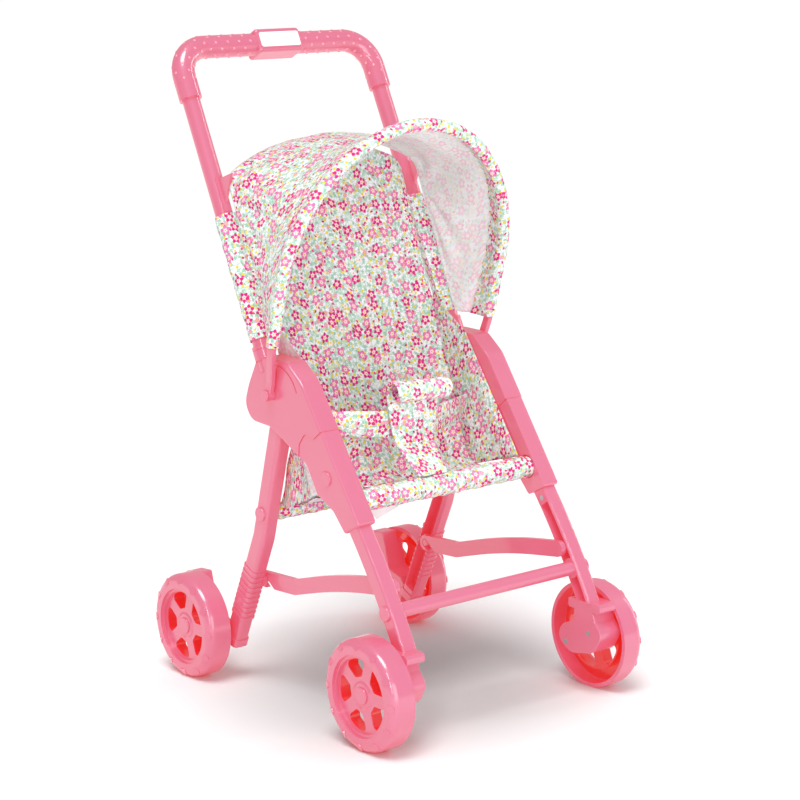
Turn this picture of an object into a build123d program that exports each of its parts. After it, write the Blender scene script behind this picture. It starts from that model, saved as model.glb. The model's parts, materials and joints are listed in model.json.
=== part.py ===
from build123d import *
import os
from math import atan2, copysign, cos, degrees, hypot, radians, sin, sqrt, tan

# Doll stroller. +Z is up, the seat faces -Y, the floor is Z = 0 and X = 0 is the plane of symmetry.
# Side views are (Y, Z) points. Upper pieces are placed from the hinge, wheel brackets from their axles.

# Running gear
WHEELBASE = 258.5
TRACK = 245.0
WHEEL_RADIUS = 46.0
WHEEL_WIDTH = 22.0
TREAD_WALL = 3.5
TREAD_ROUND = 7.5
RIM_WIDTH = 12.4
RIM_STEP = 5.2
LEDGE_WIDTH = 2.6
LEDGE_STEP = 2.2
WEB_THICKNESS = 3.5
HUB_RADIUS = 9.0
HUB_CONE_RADIUS = 12.0
HUB_FACE_RADIUS = 10.0
HUB_RISE = 1.0
HUB_GAP = 0.4
SPOKES = 5
SPOKE_WIDTH = 10.5
SPOKE_DEPTH = 10.2
SPOKE_SHORT_OF_RIM = 2.0
WINDOW_INNER_RADIUS = 15.0
WINDOW_SHORT_OF_RIM = 3.6
WINDOW_INNER_ROUND = 3.6
WINDOW_OUTER_ROUND = 4.0
BUMPS = 12
BUMP_RADIUS = 3.4
BUMP_RISE = 0.3
BUMP_TILT = 25.0
AXLE_RADIUS = 3.0
AXLE_SHORT_OF_FACE = 0.3
CAP_RADIUS = 7.2
CAP_HEIGHT = 1.5

# Side frames
HINGE_SETBACK = 11.75
HINGE_HEIGHT = 265.5
HINGE_PIN_RADIUS = 3.0
SIDE_MIDDLE = 98.0
HOUSING_WIDTH = 19.0
HOUSING_WALL = 2.2
HOUSING_ROUND = 2.0
SLEEVE_WIDTH = 17.5
SLEEVE_ROUND = 2.0
SEAM = 0.3
LEG_WIDTH = 14.0
LEG_DEPTH = 14.5
LEG_ROUND = 2.2
LEG_WALL = 2.5
LEG_IN_SLEEVE = 8.0
TONGUE_LENGTH = 12.0
TONGUE_DEPTH = 12.0
TONGUE_WIDTH = 9.0
CHANNEL_TOP_DROP = 13.0
LEG_SCREW_DROP = 6.0
CROSSBAR_HEIGHT = 108.5
CROSSBAR_RADIUS = 6.0
SPIGOT_RADIUS = 4.0
BOSS_RADIUS = 6.3
BOSS_RISE = 2.0

# Rear legs
REAR_LEG_LEAD = 6.0
REAR_LEG_TILT = 17.5
REAR_LEG_DEPTH = 17.5
REAR_LEG_ROUND = 4.0
REAR_LEG_BEND_HEIGHT = 137.0
REAR_LEG_BEND_RADIUS = 45.0
REAR_FOOT_LEAD = 33.0
REAR_FOOT_DROP = 11.0
REAR_EYE_RADIUS = 13.0
FOLD_ANGLE = 36.0
RIB_COUNT = 10
RIB_PITCH = 5.5
RIB_RISE = 0.7
RIB_START = 31.0
FOOT_BAND = 11.0
REAR_BAR_HEIGHT = 158.6
REAR_BAR_RADIUS = 4.0

# Side stays
STAY_THICKNESS = 4.5
STAY_HEIGHT = 14.0
STAY_GAP = 0.5
STAY_FRONT_HEIGHT = 124.0
STAY_FRONT_SETBACK = 2.5
STAY_REAR_HEIGHT = 95.0
STAY_REAR_LEAD = 7.0
STAY_KINK_LEAD = 45.0
STAY_KINK_DROP = 2.0
STAY_KINK_RADIUS = 25.0
STAY_RISE = 5.0
STAY_CROWN_RADIUS = 600.0
STAY_TURN_SHARE = 0.58
PEG_RADIUS = 3.0
LUG_RADIUS = 6.0
LUG_THICKNESS = 3.0
HOOK_CLEARANCE = 0.6
HOOK_FOLD_ANGLE = 3.5

# Handle
HANDLE_TILT = 25.0
HANDLE_REACH = 309.0
TUBE_SETBACK = 4.5
TUBE_SPREAD = 201.2
TUBE_RADIUS = 7.6
TUBE_WALL = 1.2
TUBE_FOOT = 19.0
FERRULE_END = 41.0
FERRULE_WALL = 1.6
GRIP_RADIUS = 9.8
GRIP_BEND = 27.0
GRIP_LEG = 47.0
TUBE_IN_GRIP = 18.0
BLOCK_LENGTH = 47.0
BLOCK_SIZE = 21.5
BLOCK_ROUND = 3.0
PLATE_LENGTH = 41.0
PLATE_HEIGHT = 13.5
PLATE_THICKNESS = 1.2
PLATE_ROUND = 2.0
PLATE_PROUD = 0.5
CLIP_START = 158.0
CLIP_END = 188.0
CLIP_REACH = 28.0
CLIP_DROP = 4.0
CLIP_FIN = 2.4
CLIP_WALL = 0.9

# Canopy
BOW_TILT = -18.0
BOW_RADIUS = 2.5
BOW_HALF_WIDTH = 115.0
BOW_SPRING = 100.0
BOW_TOP = 228.0
BOW_CROWN_RADIUS = 105.0
BOW_JOGGLE = 40.0
BOW_EYE_RADIUS = 5.0
LEVER_THICKNESS = 5.0
LEVER_DEPTH = 7.5
LEVER_ROUND = 1.2
HEM_RADIUS = 6.0
HEM_START = 44.0
CANOPY_REAR_HALF_WIDTH = 100.0
CANOPY_REAR_TILT = 22.0
CANOPY_REAR_LEAD = 4.0
CANOPY_REAR_SPRING = 168.0
CANOPY_REAR_TOP = 218.0
CANOPY_REAR_CROWN_RADIUS = 150.0
CANOPY_MIDDLE_TILT = 2.0
CANOPY_SAG = 3.0

# Cloth
CLOTH = 2.0
SOFT_GAP = 0.3
SLEEVE_CLOTH_START = 46.5
SLEEVE_CLOTH_END = 156.5
SLEEVE_CLOTH = 1.3
BACK_TILT = 19.3
BACK_SPRING = 235.0
BACK_TOP = 303.0
BACK_CROWN_RADIUS = 100.0
WING_TOP = 155.0
GUSSET_TOP = 60.0
CREASE_LEAD = 22.3
CREASE_DROP = 88.0
FRONT_BAR_LEAD = 91.0
FRONT_BAR_DROP = 77.5
FRONT_BAR_RADIUS = 4.5
FRONT_HEM_RADIUS = 9.5
REAR_HEM_RADIUS = 8.0
PAN_SAG = 4.0
BELT_HEIGHT = 23.0
BELT_DROP = 30.5
BELT_END_LEAD = 50.0
BELT_MIDDLE_LEAD = 61.0
BELT_FAR_END_LEAD = 18.0
BELT_BULGE = 3.0
BELT_TURN = 12.0
STRAP_FOOT_WIDTH = 24.0
STRAP_FOOT_OFFSET = -13.0
STRAP_TOP_WIDTH = 50.0
STRAP_TOP_OFFSET = -5.5
STRAP_ROLL = 12.0
STRAP_ROLL_RISE = 18.0

# Fits and fasteners
RUNNING = 0.05
FIT = 0.1
SCREW_HEAD_RADIUS = 2.4
SCREW_HEAD = 0.8
SCREW_RADIUS = 1.2
SCREW_LENGTH = 5.0

front_axle = (-WHEELBASE / 2, WHEEL_RADIUS)
rear_axle = (WHEELBASE / 2, WHEEL_RADIUS)
hinge = (HINGE_SETBACK, HINGE_HEIGHT)
leg_inner = SIDE_MIDDLE - LEG_WIDTH / 2
leg_outer = SIDE_MIDDLE + LEG_WIDTH / 2
housing_inner = SIDE_MIDDLE - HOUSING_WIDTH / 2
housing_outer = SIDE_MIDDLE + HOUSING_WIDTH / 2
sleeve_inner = SIDE_MIDDLE - SLEEVE_WIDTH / 2
sleeve_outer = SIDE_MIDDLE + SLEEVE_WIDTH / 2
wheel_inner = TRACK / 2 - WHEEL_WIDTH / 2
wheel_outer = TRACK / 2 + WHEEL_WIDTH / 2
tube_x = TUBE_SPREAD / 2


def shifted(origin, y, z):
    """The side-view point that lies y behind and z above an origin."""
    return (origin[0] + y, origin[1] + z)


def outline(origin, corners):
    """A closed side-view face from (y, z, rounding) corners about an origin."""
    points = [shifted(origin, y, z) for y, z, _ in corners]
    return make_face(FilletPolyline(*points, radius=[r for _, _, r in corners], close=True))


def slab(face, x_from, x_to):
    """A side-view face carried across from one x to another."""
    return extrude(Plane.YZ.offset(x_from) * face, amount=x_to - x_from, dir=(1, 0, 0))


def rod(point, x_from, x_to, radius):
    """A round bar along X through a side-view point."""
    base = Plane((x_from, point[0], point[1]), x_dir=(0, 1, 0), z_dir=(1, 0, 0))
    return base * Cylinder(radius, x_to - x_from, align=(Align.CENTER, Align.CENTER, Align.MIN))


def both_sides(piece):
    """A right-hand piece and its mirror image as one group."""
    return Compound(children=[*piece.solids(), *mirror(piece, about=Plane.YZ).solids()])


def lean_plane(angle, behind=0.0):
    """The plane through the hinge line, leaned back by an angle; its own y runs up the slope."""
    slope = (sin(radians(angle)), cos(radians(angle)))
    normal = (0, -slope[1], slope[0])
    return Plane((0, hinge[0], hinge[1]), x_dir=(1, 0, 0), z_dir=normal).offset(-behind)


def screw(point, face_x, inward):
    """A countersunk screw whose head is flush with a face; inward is the way its shank points."""
    head = rod(point, min(face_x, face_x + inward * SCREW_HEAD), max(face_x, face_x + inward * SCREW_HEAD),
               SCREW_HEAD_RADIUS)
    end = face_x + inward * SCREW_LENGTH
    return head + rod(point, min(face_x, end), max(face_x, end), SCREW_RADIUS)


parts = {}
frame_screws = []
rear_screws = []


# Wheels
def make_wheel():
    """One hollow wheel about the X axis, its outer face towards +X, with the tread's middle at x = 0."""
    face = WHEEL_WIDTH / 2
    rim_radius = WHEEL_RADIUS - RIM_WIDTH
    spoke_radius = rim_radius - SPOKE_SHORT_OF_RIM
    web_out = face - RIM_STEP
    web_in = web_out - WEB_THICKNESS
    spoke_in = web_out - SPOKE_DEPTH
    hub_face = web_out + HUB_RISE
    bore = AXLE_RADIUS + RUNNING
    hub_start = -face + 5.0
    profile = Polyline(
        (bore, hub_start), (HUB_RADIUS, hub_start), (HUB_RADIUS, spoke_in), (spoke_radius, spoke_in),
        (spoke_radius, web_in), (WHEEL_RADIUS - TREAD_WALL, web_in), (WHEEL_RADIUS - TREAD_WALL, -face),
        (WHEEL_RADIUS, -face), (WHEEL_RADIUS, face - TREAD_ROUND),
    )
    shoulder = RadiusArc((WHEEL_RADIUS, face - TREAD_ROUND), (WHEEL_RADIUS - TREAD_ROUND, face), -TREAD_ROUND)
    outer = Polyline(
        (WHEEL_RADIUS - TREAD_ROUND, face), (rim_radius, face), (rim_radius, face - LEDGE_STEP),
        (rim_radius - LEDGE_WIDTH, face - LEDGE_STEP), (rim_radius - LEDGE_WIDTH, web_out),
        (HUB_CONE_RADIUS, web_out), (HUB_FACE_RADIUS, hub_face), (bore, hub_face), (bore, hub_start),
    )
    section = Plane(origin=(0, 0, 0), x_dir=(0, 1, 0), z_dir=(0, 0, -1)) * make_face(profile + shoulder + outer)
    wheel = revolve(section, axis=Axis.X)
    window_radius = rim_radius - WINDOW_SHORT_OF_RIM
    ring = Circle(window_radius) - Circle(WINDOW_INNER_RADIUS)
    for index in range(SPOKES):
        spoke = Pos(-WHEEL_RADIUS / 2, 0) * Rectangle(WHEEL_RADIUS, SPOKE_WIDTH)
        ring -= Rot(0, 0, index * 360 / SPOKES) * spoke
    middle = (window_radius + WINDOW_INNER_RADIUS) / 2
    ring = fillet([v for v in ring.vertices() if hypot(v.X, v.Y) < middle], WINDOW_INNER_ROUND)
    ring = fillet([v for v in ring.vertices() if hypot(v.X, v.Y) > window_radius - SEAM], WINDOW_OUTER_ROUND)
    wheel -= slab(ring, -face, face)
    bump_lean = radians(BUMP_TILT)
    bump_base = Plane((face - TREAD_ROUND, WHEEL_RADIUS - TREAD_ROUND, 0), x_dir=(0, 0, 1),
                      z_dir=(cos(bump_lean), sin(bump_lean), 0))
    bump = bump_base * Pos(0, 0, TREAD_ROUND / 2) * Cylinder(
        BUMP_RADIUS, TREAD_ROUND / 2 + BUMP_RISE, align=(Align.CENTER, Align.CENTER, Align.MIN))
    return wheel + [Rot(index * 360 / BUMPS, 0, 0) * bump for index in range(BUMPS)]


def make_hub_cap():
    """The domed cap pressed on the end of the hub, about the X axis."""
    seat = WHEEL_WIDTH / 2 - RIM_STEP + HUB_RISE
    cap = rod((0, 0), seat, seat + CAP_HEIGHT, CAP_RADIUS)
    return fillet(cap.edges().group_by(Axis.X)[-1], CAP_HEIGHT * 0.6)


wheel = make_wheel()
hub_cap = make_hub_cap()
for end, axle in (("front", front_axle), ("rear", rear_axle)):
    place = Pos(TRACK / 2, axle[0], axle[1])
    parts[f"wheel_{end}_right"] = place * wheel
    parts[f"wheel_{end}_left"] = mirror(place * wheel, about=Plane.YZ)
    parts[f"hub_cap_{end}_right"] = place * hub_cap
    parts[f"hub_cap_{end}_left"] = mirror(place * hub_cap, about=Plane.YZ)

# Front side of the frame: the housing at the hinge runs down into the sleeve that holds the front leg.
SIDE_CORNERS = (
    (22.0, 27.0, 5.0), (35.5, 4.0, 40.0), (42.5, -13.0, 14.0), (33.0, -26.5, 14.0), (4.0, -28.5, 20.0),
    (-44.0, -53.0, 8.0), (-57.0, -75.0, 6.0), (-79.0, -86.0, 8.0), (-93.5, -101.5, 2.5), (-113.0, -91.0, 2.5),
    (-42.0, 14.0, 30.0), (-22.0, 29.5, 14.0), (9.0, 30.5, 6.0),
)
SLEEVE_CORNERS = (
    (-20.0, -66.0, 0.0), (-34.2, -47.0, 4.0), (-35.5, -36.5, 6.0), (-44.0, -26.5, 5.0), (-56.0, -29.5, 5.0),
    (-66.0, -22.0, 5.0), (-90.0, -12.0, 0.0), (-140.0, -60.0, 0.0), (-140.0, -130.0, 0.0), (-60.0, -130.0, 0.0),
)
SLEEVE_TOP = (-52.0, -28.0)
SLEEVE_FOOT = (-103.25, -96.25)
sleeve_top = shifted(hinge, *SLEEVE_TOP)
sleeve_foot = shifted(hinge, *SLEEVE_FOOT)
sleeve_run = Vector(0, sleeve_top[0] - sleeve_foot[0], sleeve_top[1] - sleeve_foot[1]).normalized()

side_face = outline(hinge, SIDE_CORNERS)
sleeve_region = outline(hinge, SLEEVE_CORNERS)
housing_face = side_face - sleeve_region
seam_shift = Pos(0, -sleeve_run.Y * SEAM, -sleeve_run.Z * SEAM)

# Front leg: a channel that leaves the sleeve along its line and bends down to the wheel bracket.
FLANGE_TOP = 36.0
FLANGE_DEPTH = 8.0
LEG_FOOT_LEAD = 18.0
LEG_PAST_FLANGE = 4.0
leg_start = Vector(SIDE_MIDDLE, *sleeve_foot) + sleeve_run * LEG_IN_SLEEVE
leg_bend = Vector(SIDE_MIDDLE, *sleeve_foot)
leg_end = Vector(SIDE_MIDDLE, *shifted(front_axle, -LEG_FOOT_LEAD, FLANGE_TOP - LEG_PAST_FLANGE))
leg_arc = TangentArc(leg_bend, leg_end, tangent=-sleeve_run)
leg_path = Line(leg_start, leg_bend) + leg_arc


def on_front_leg(height):
    """The side-view point of the front leg's middle line at a height."""
    centre = leg_arc.arc_center
    side = copysign(1, leg_bend.Y - centre.Y)
    return (centre.Y + side * sqrt(leg_arc.radius ** 2 - (height - centre.Z) ** 2), height)


crossbar_point = on_front_leg(CROSSBAR_HEIGHT)
stay_front = shifted(on_front_leg(STAY_FRONT_HEIGHT), STAY_FRONT_SETBACK, 0)
leg_screw = on_front_leg(sleeve_foot[1] - LEG_SCREW_DROP)
channel_depth = LEG_DEPTH - 2 * LEG_WALL
channel_floor = leg_outer - LEG_WALL - 0.5


def carried(section, path, x_middle):
    """The solid that a section sweeps along a side-view path moved to its own x."""
    start = path @ 0
    base = Plane((x_middle, start.Y, start.Z), x_dir=(1, 0, 0), z_dir=path % 0)
    moved = Pos(x_middle - start.X, 0, 0) * path
    return sweep(base * section, path=moved)


leg_solid = carried(RectangleRounded(LEG_WIDTH, LEG_DEPTH, LEG_ROUND), leg_path, SIDE_MIDDLE)
channel_middle = (leg_inner - 1.0 + channel_floor) / 2
channel_width = channel_floor - leg_inner + 1.0
front_channel = carried(Rectangle(channel_width, channel_depth), leg_arc, channel_middle)
front_channel -= Plane(leg_bend, x_dir=(1, 0, 0), z_dir=sleeve_run) * Box(
    2 * LEG_WIDTH, 2 * LEG_DEPTH, 2 * CHANNEL_TOP_DROP)
front_channel -= rod(crossbar_point, leg_inner - 2, channel_floor + 1, CROSSBAR_RADIUS + 2.5)
front_channel -= rod(stay_front, leg_inner - 2, channel_floor + 1, PEG_RADIUS + 2.5)
front_leg = leg_solid - front_channel
front_leg = split(front_leg, bisect_by=Plane.XY.offset(front_axle[1] + FLANGE_TOP), keep=Keep.TOP)
front_leg -= rod(crossbar_point, leg_inner - 1, channel_floor, SPIGOT_RADIUS + FIT)
front_leg -= rod(stay_front, leg_inner - 1, channel_floor, PEG_RADIUS)
frame_screws.append(screw(leg_screw, leg_inner, 1))

# Sleeve: slipped over the leg's end, with a tongue that plugs into the housing and a boss outside.
front_bar = shifted(hinge, -FRONT_BAR_LEAD, -FRONT_BAR_DROP)
SLEEVE_SCREW = (-71.6, -59.5)
sleeve_screw = shifted(hinge, *SLEEVE_SCREW)
sleeve = slab(side_face, sleeve_inner, sleeve_outer)
sleeve = fillet(sleeve.faces().sort_by(Axis.X)[-1].edges(), SLEEVE_ROUND)
sleeve &= seam_shift * slab(sleeve_region, sleeve_inner - 1, sleeve_outer + 1)
sleeve += fillet(rod(sleeve_screw, sleeve_outer - 1, sleeve_outer + BOSS_RISE - 0.5, BOSS_RADIUS)
                 .edges().group_by(Axis.X)[-1], 0.8)
tongue_base = Plane((SIDE_MIDDLE, *sleeve_top), x_dir=(1, 0, 0), z_dir=sleeve_run)
tongue = tongue_base * Box(TONGUE_WIDTH, TONGUE_DEPTH, 2 * TONGUE_LENGTH)
tongue_slot = tongue_base * Box(TONGUE_WIDTH + 2 * FIT, TONGUE_DEPTH + 2 * FIT, 2 * TONGUE_LENGTH + 2)
sleeve += tongue
sleeve -= carried(RectangleRounded(LEG_WIDTH + 2 * FIT, LEG_DEPTH + 2 * FIT, LEG_ROUND), leg_path, SIDE_MIDDLE)
hem_pocket = sleeve_inner + 6.0
sleeve -= rod(front_bar, sleeve_inner - 1, hem_pocket, FRONT_HEM_RADIUS + 0.6)
bar_end = sleeve_outer - 5.0
sleeve -= rod(front_bar, sleeve_inner - 1, bar_end, FRONT_BAR_RADIUS + FIT)
frame_screws.append(screw(sleeve_screw, sleeve_inner, 1))
sleeve -= frame_screws[-1]

# Housing: two moulded halves round the hinge, open below so that the rear leg can swing forwards.
HOUSING_SCREWS = ((-20.4, 12.9), (30.0, -12.0))
pocket_in = housing_inner + HOUSING_WALL
pocket_out = housing_outer - HOUSING_WALL
housing = slab(side_face, housing_inner, housing_outer)
housing = fillet(housing.faces().sort_by(Axis.X)[-1].edges(), HOUSING_ROUND)
housing = fillet(housing.faces().sort_by(Axis.X)[0].edges(), HOUSING_ROUND / 2)
housing -= slab(sleeve_region, housing_inner - 1, housing_outer + 1)
pocket = slab(offset(housing_face, amount=-HOUSING_WALL), pocket_in, pocket_out)
swing = 78.0
front_side = REAR_LEG_LEAD + REAR_LEG_DEPTH / 2 + 0.6
rear_side = REAR_LEG_DEPTH / 2 - REAR_LEG_LEAD + 0.6


def leg_local(tilt, across, along):
    """A side-view point across and down a leg that leans back from the hinge by a tilt."""
    a = radians(tilt)
    return shifted(hinge, across * cos(a) + along * sin(a), across * sin(a) - along * cos(a))


swing_face = make_face(Polyline(
    leg_local(REAR_LEG_TILT, rear_side, 0), leg_local(REAR_LEG_TILT, rear_side, swing),
    leg_local(REAR_LEG_TILT - FOLD_ANGLE / 2, -REAR_LEG_LEAD, swing),
    leg_local(REAR_LEG_TILT - FOLD_ANGLE, -front_side, swing), leg_local(REAR_LEG_TILT - FOLD_ANGLE, -front_side, 0),
    close=True,
))
tube_base = lean_plane(HANDLE_TILT)
tube_axis = Plane((tube_x, hinge[0] + TUBE_SETBACK, hinge[1]), x_dir=(1, 0, 0),
                  z_dir=(0, sin(radians(HANDLE_TILT)), cos(radians(HANDLE_TILT))))


def along_tube(start, end, radius):
    """A round bar on the handle tube's own axis between two distances from the hinge."""
    return tube_axis * Pos(0, 0, start) * Cylinder(radius, end - start,
                                                   align=(Align.CENTER, Align.CENTER, Align.MIN))


socket = along_tube(TUBE_FOOT - 3.0, FERRULE_END, TUBE_RADIUS + FERRULE_WALL)
socket_inside = socket & slab(side_face, housing_inner, housing_outer)
hinge_boss = rod(hinge, pocket_out, housing_outer, HINGE_PIN_RADIUS + 3)
housing -= pocket
housing += socket_inside + along_tube(FERRULE_END - 12.0, FERRULE_END, TUBE_RADIUS + FERRULE_WALL)
housing -= slab(swing_face, pocket_in, pocket_out)
housing -= rod(hinge, pocket_in, pocket_out, REAR_EYE_RADIUS + 0.6)
housing -= along_tube(TUBE_FOOT, FERRULE_END + 1, TUBE_RADIUS + FIT)
groove_start = FERRULE_END - 4.0
housing -= (along_tube(groove_start, groove_start + 1.2, TUBE_RADIUS + FERRULE_WALL + 1)
            - along_tube(groove_start, groove_start + 1.2, TUBE_RADIUS + FERRULE_WALL - 0.7))
housing -= tongue_slot
housing -= rod(hinge, housing_inner - 1, housing_outer + 1, HINGE_PIN_RADIUS)
track_centre = shifted(hinge, -6.0, -5.0)
track = Pos(*track_centre) * (Circle(31.5) - Circle(30.0))
track &= make_face(Polyline(track_centre, shifted(track_centre, 2, 60), shifted(track_centre, -60, 60),
                            shifted(track_centre, -60, 22), close=True))
housing -= slab(track, housing_outer - 0.8, housing_outer + 1)
for place in HOUSING_SCREWS:
    frame_screws.append(screw(shifted(hinge, *place), housing_inner, 1))
    boss = rod(shifted(hinge, *place), pocket_in - 1, SIDE_MIDDLE, SCREW_RADIUS + 2)
    housing += boss & slab(housing_face, housing_inner, housing_outer)
    housing -= frame_screws[-1]
housing_halves = {
    "outer": split(housing, bisect_by=Plane.YZ.offset(SIDE_MIDDLE), keep=Keep.TOP),
    "inner": split(housing, bisect_by=Plane.YZ.offset(SIDE_MIDDLE), keep=Keep.BOTTOM),
}

# Front wheel bracket: a flange under the leg, a body that reaches into the wheel, and an inner cover.
FLANGE_FRONT = -35.5
FLANGE_REAR = 3.0
BRACKET_CORNERS = (
    (-3.8, 28.5, 2.0), (-26.4, 28.5, 3.0), (-29.0, 20.0, 4.0), (-38.0, 10.0, 9.0), (-27.0, -7.0, 12.0),
    (2.0, -13.0, 16.0), (20.0, 0.0, 9.0), (10.0, 11.5, 7.0), (-3.0, 17.0, 7.0),
)
COVER_SCREWS = ((-21.0, 9.1), (7.5, -3.9))
bracket_inner = leg_inner + 2.0
cover_thickness = 2.0
body_outer = wheel_inner + 4.2
bracket_face = outline(front_axle, BRACKET_CORNERS)
flange_face = outline(front_axle, (
    (FLANGE_FRONT, FLANGE_TOP - FLANGE_DEPTH, 3.0), (FLANGE_REAR, FLANGE_TOP - FLANGE_DEPTH, 1.5),
    (FLANGE_REAR, FLANGE_TOP, 1.0), (FLANGE_FRONT, FLANGE_TOP, 3.0),
))
front_bracket = slab(flange_face, bracket_inner, wheel_inner - 0.7)
front_bracket += slab(bracket_face, bracket_inner + cover_thickness, body_outer)
front_bracket += rod(front_axle, body_outer - 1, wheel_inner + 5.0 - HUB_GAP, HUB_RADIUS - 2)
front_cover = fillet(slab(bracket_face, bracket_inner, bracket_inner + cover_thickness)
                     .faces().sort_by(Axis.X)[0].edges(), 0.6)
front_cover -= slab(flange_face, bracket_inner - 1, wheel_inner)
for place in COVER_SCREWS:
    frame_screws.append(screw(shifted(front_axle, *place), bracket_inner, 1))
    front_cover -= frame_screws[-1]
    front_bracket -= frame_screws[-1]
axle_start = bracket_inner + cover_thickness + 2.0
axle_end = wheel_outer - RIM_STEP + HUB_RISE - AXLE_SHORT_OF_FACE
front_bracket -= rod(front_axle, axle_start, axle_end, AXLE_RADIUS)
for index, fastener in enumerate(frame_screws):
    front_leg -= fastener

# Rear leg: a straight channel from the hinge eye that bends back to a foot ahead of the rear axle.
tilt = radians(REAR_LEG_TILT)
rear_top = leg_local(REAR_LEG_TILT, -REAR_LEG_LEAD, 0)
rear_bend = (rear_top[0] + (rear_top[1] - REAR_LEG_BEND_HEIGHT) * tan(tilt), REAR_LEG_BEND_HEIGHT)
rear_foot = shifted(rear_axle, -REAR_FOOT_LEAD, -REAR_FOOT_DROP)
lower_run = Vector(0, rear_foot[0] - rear_bend[0], rear_foot[1] - rear_bend[1]).normalized()
rear_path = FilletPolyline((SIDE_MIDDLE, *rear_top), (SIDE_MIDDLE, *rear_bend), (SIDE_MIDDLE, *rear_foot),
                           radius=REAR_LEG_BEND_RADIUS)


def on_lower_leg(height):
    """The side-view point of the rear leg's lower straight at a height."""
    share = (height - rear_foot[1]) / (rear_bend[1] - rear_foot[1])
    return (rear_foot[0] + share * (rear_bend[0] - rear_foot[0]), height)


rear_bar = (rear_top[0] + (rear_top[1] - REAR_BAR_HEIGHT) * tan(tilt), REAR_BAR_HEIGHT)
stay_rear = shifted(on_lower_leg(STAY_REAR_HEIGHT), -STAY_REAR_LEAD, 0)
rear_leg = carried(RectangleRounded(LEG_WIDTH, REAR_LEG_DEPTH, REAR_LEG_ROUND), rear_path, SIDE_MIDDLE)
rear_channel = carried(Rectangle(channel_width, REAR_LEG_DEPTH - 2 * LEG_WALL), rear_path, channel_middle)
keep_top = rod(hinge, leg_inner - 2, leg_outer, REAR_EYE_RADIUS + 20)
rear_channel -= keep_top
rear_channel -= rod(rear_bar, leg_inner - 2, channel_floor + 1, REAR_BAR_RADIUS + 3)
foot_block = Plane((SIDE_MIDDLE, *rear_foot), x_dir=(1, 0, 0), z_dir=lower_run)
rear_channel -= foot_block * Box(LEG_WIDTH + 6, REAR_LEG_DEPTH + 6, 2 * FOOT_BAND)
rear_leg -= rear_channel
rear_leg += rod(hinge, leg_inner, leg_outer, REAR_EYE_RADIUS)
rib_start = Vector(SIDE_MIDDLE, *rear_foot) - lower_run * RIB_START
for index in range(RIB_COUNT):
    centre = rib_start - lower_run * (index * RIB_PITCH)
    rib_base = Plane(centre, x_dir=(1, 0, 0), z_dir=lower_run)
    rib_out = RectangleRounded(LEG_WIDTH + 2 * RIB_RISE, REAR_LEG_DEPTH + 2 * RIB_RISE, REAR_LEG_ROUND)
    rib_in = RectangleRounded(LEG_WIDTH - 2, REAR_LEG_DEPTH - 2, REAR_LEG_ROUND - 1)
    rib = rib_base * (extrude(rib_out, amount=RIB_PITCH * 0.45) - extrude(rib_in, amount=RIB_PITCH))
    rear_leg += split(rib, bisect_by=Plane.YZ.offset(leg_inner), keep=Keep.TOP) - rear_channel
rear_leg += foot_block * Pos(0, 0, -FOOT_BAND / 2) * extrude(
    RectangleRounded(LEG_WIDTH + 1.6, REAR_LEG_DEPTH + 1.6, REAR_LEG_ROUND), amount=FOOT_BAND / 2 + 2)
lug_back = shifted(on_lower_leg(STAY_REAR_HEIGHT), 0, 0)
lug = make_face(Polyline(shifted(stay_rear, 0, LUG_RADIUS), shifted(lug_back, 0, LUG_RADIUS),
                         shifted(lug_back, 0, -LUG_RADIUS), shifted(stay_rear, 0, -LUG_RADIUS), close=True))
lug += Pos(*stay_rear) * Circle(LUG_RADIUS)
rear_leg += slab(lug, leg_inner, leg_inner + LUG_THICKNESS)
stay_peg = rod(stay_rear, leg_inner - STAY_GAP - STAY_THICKNESS, leg_inner + LUG_THICKNESS, PEG_RADIUS)
rear_leg -= stay_peg
rear_leg -= rod(hinge, leg_inner - 1, leg_outer + 1, HINGE_PIN_RADIUS + RUNNING)
rear_leg -= rod(rear_bar, leg_inner - 1, channel_floor, REAR_BAR_RADIUS + FIT)

# Rear wheel bracket: from the foot back to the axle, with an upright fin behind the wheel's middle.
REAR_BRACKET_CORNERS = (
    (6.0, 43.0, 2.0), (25.0, 41.5, 3.0), (24.0, 5.0, 10.0), (8.0, -15.0, 8.0), (-24.0, -22.0, 4.0),
    (-33.0, -11.0, 2.0), (-20.0, 4.5, 4.0), (-2.0, 9.5, 5.0),
)
REAR_BRACKET_SCREWS = ((-12.5, -8.0), (15.0, 28.0))
rear_bracket_inner = leg_inner + 4.0
rear_face = outline(rear_axle, REAR_BRACKET_CORNERS)
rear_bracket = slab(rear_face, rear_bracket_inner, wheel_inner - 0.7)
inner_disc = Pos(*rear_axle) * Circle(WHEEL_RADIUS - TREAD_WALL - 8.0)
rear_bracket += slab(rear_face & inner_disc, wheel_inner - 1, body_outer)
rear_bracket += rod(rear_axle, body_outer - 1, wheel_inner + 5.0 - HUB_GAP, HUB_RADIUS - 2)
boss_point = shifted(rear_foot, 1.0, 2.0)
foot_boss = rod(boss_point, leg_outer - 2, wheel_inner - 0.7, 5.0)
rear_bracket += foot_boss
rear_bracket = fillet(rear_bracket.faces().sort_by(Axis.X)[0].edges(), 0.8)
rear_leg_foot = foot_block * Box(LEG_WIDTH + 1.6, REAR_LEG_DEPTH + 1.6, 60)
rear_bracket -= rear_leg_foot
for place in REAR_BRACKET_SCREWS:
    rear_screws.append(screw(shifted(rear_axle, *place), rear_bracket_inner, 1))
    rear_bracket -= rear_screws[-1]
rear_axle_start = rear_bracket_inner + 2.0
rear_bracket -= rod(rear_axle, rear_axle_start, axle_end, AXLE_RADIUS)

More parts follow.
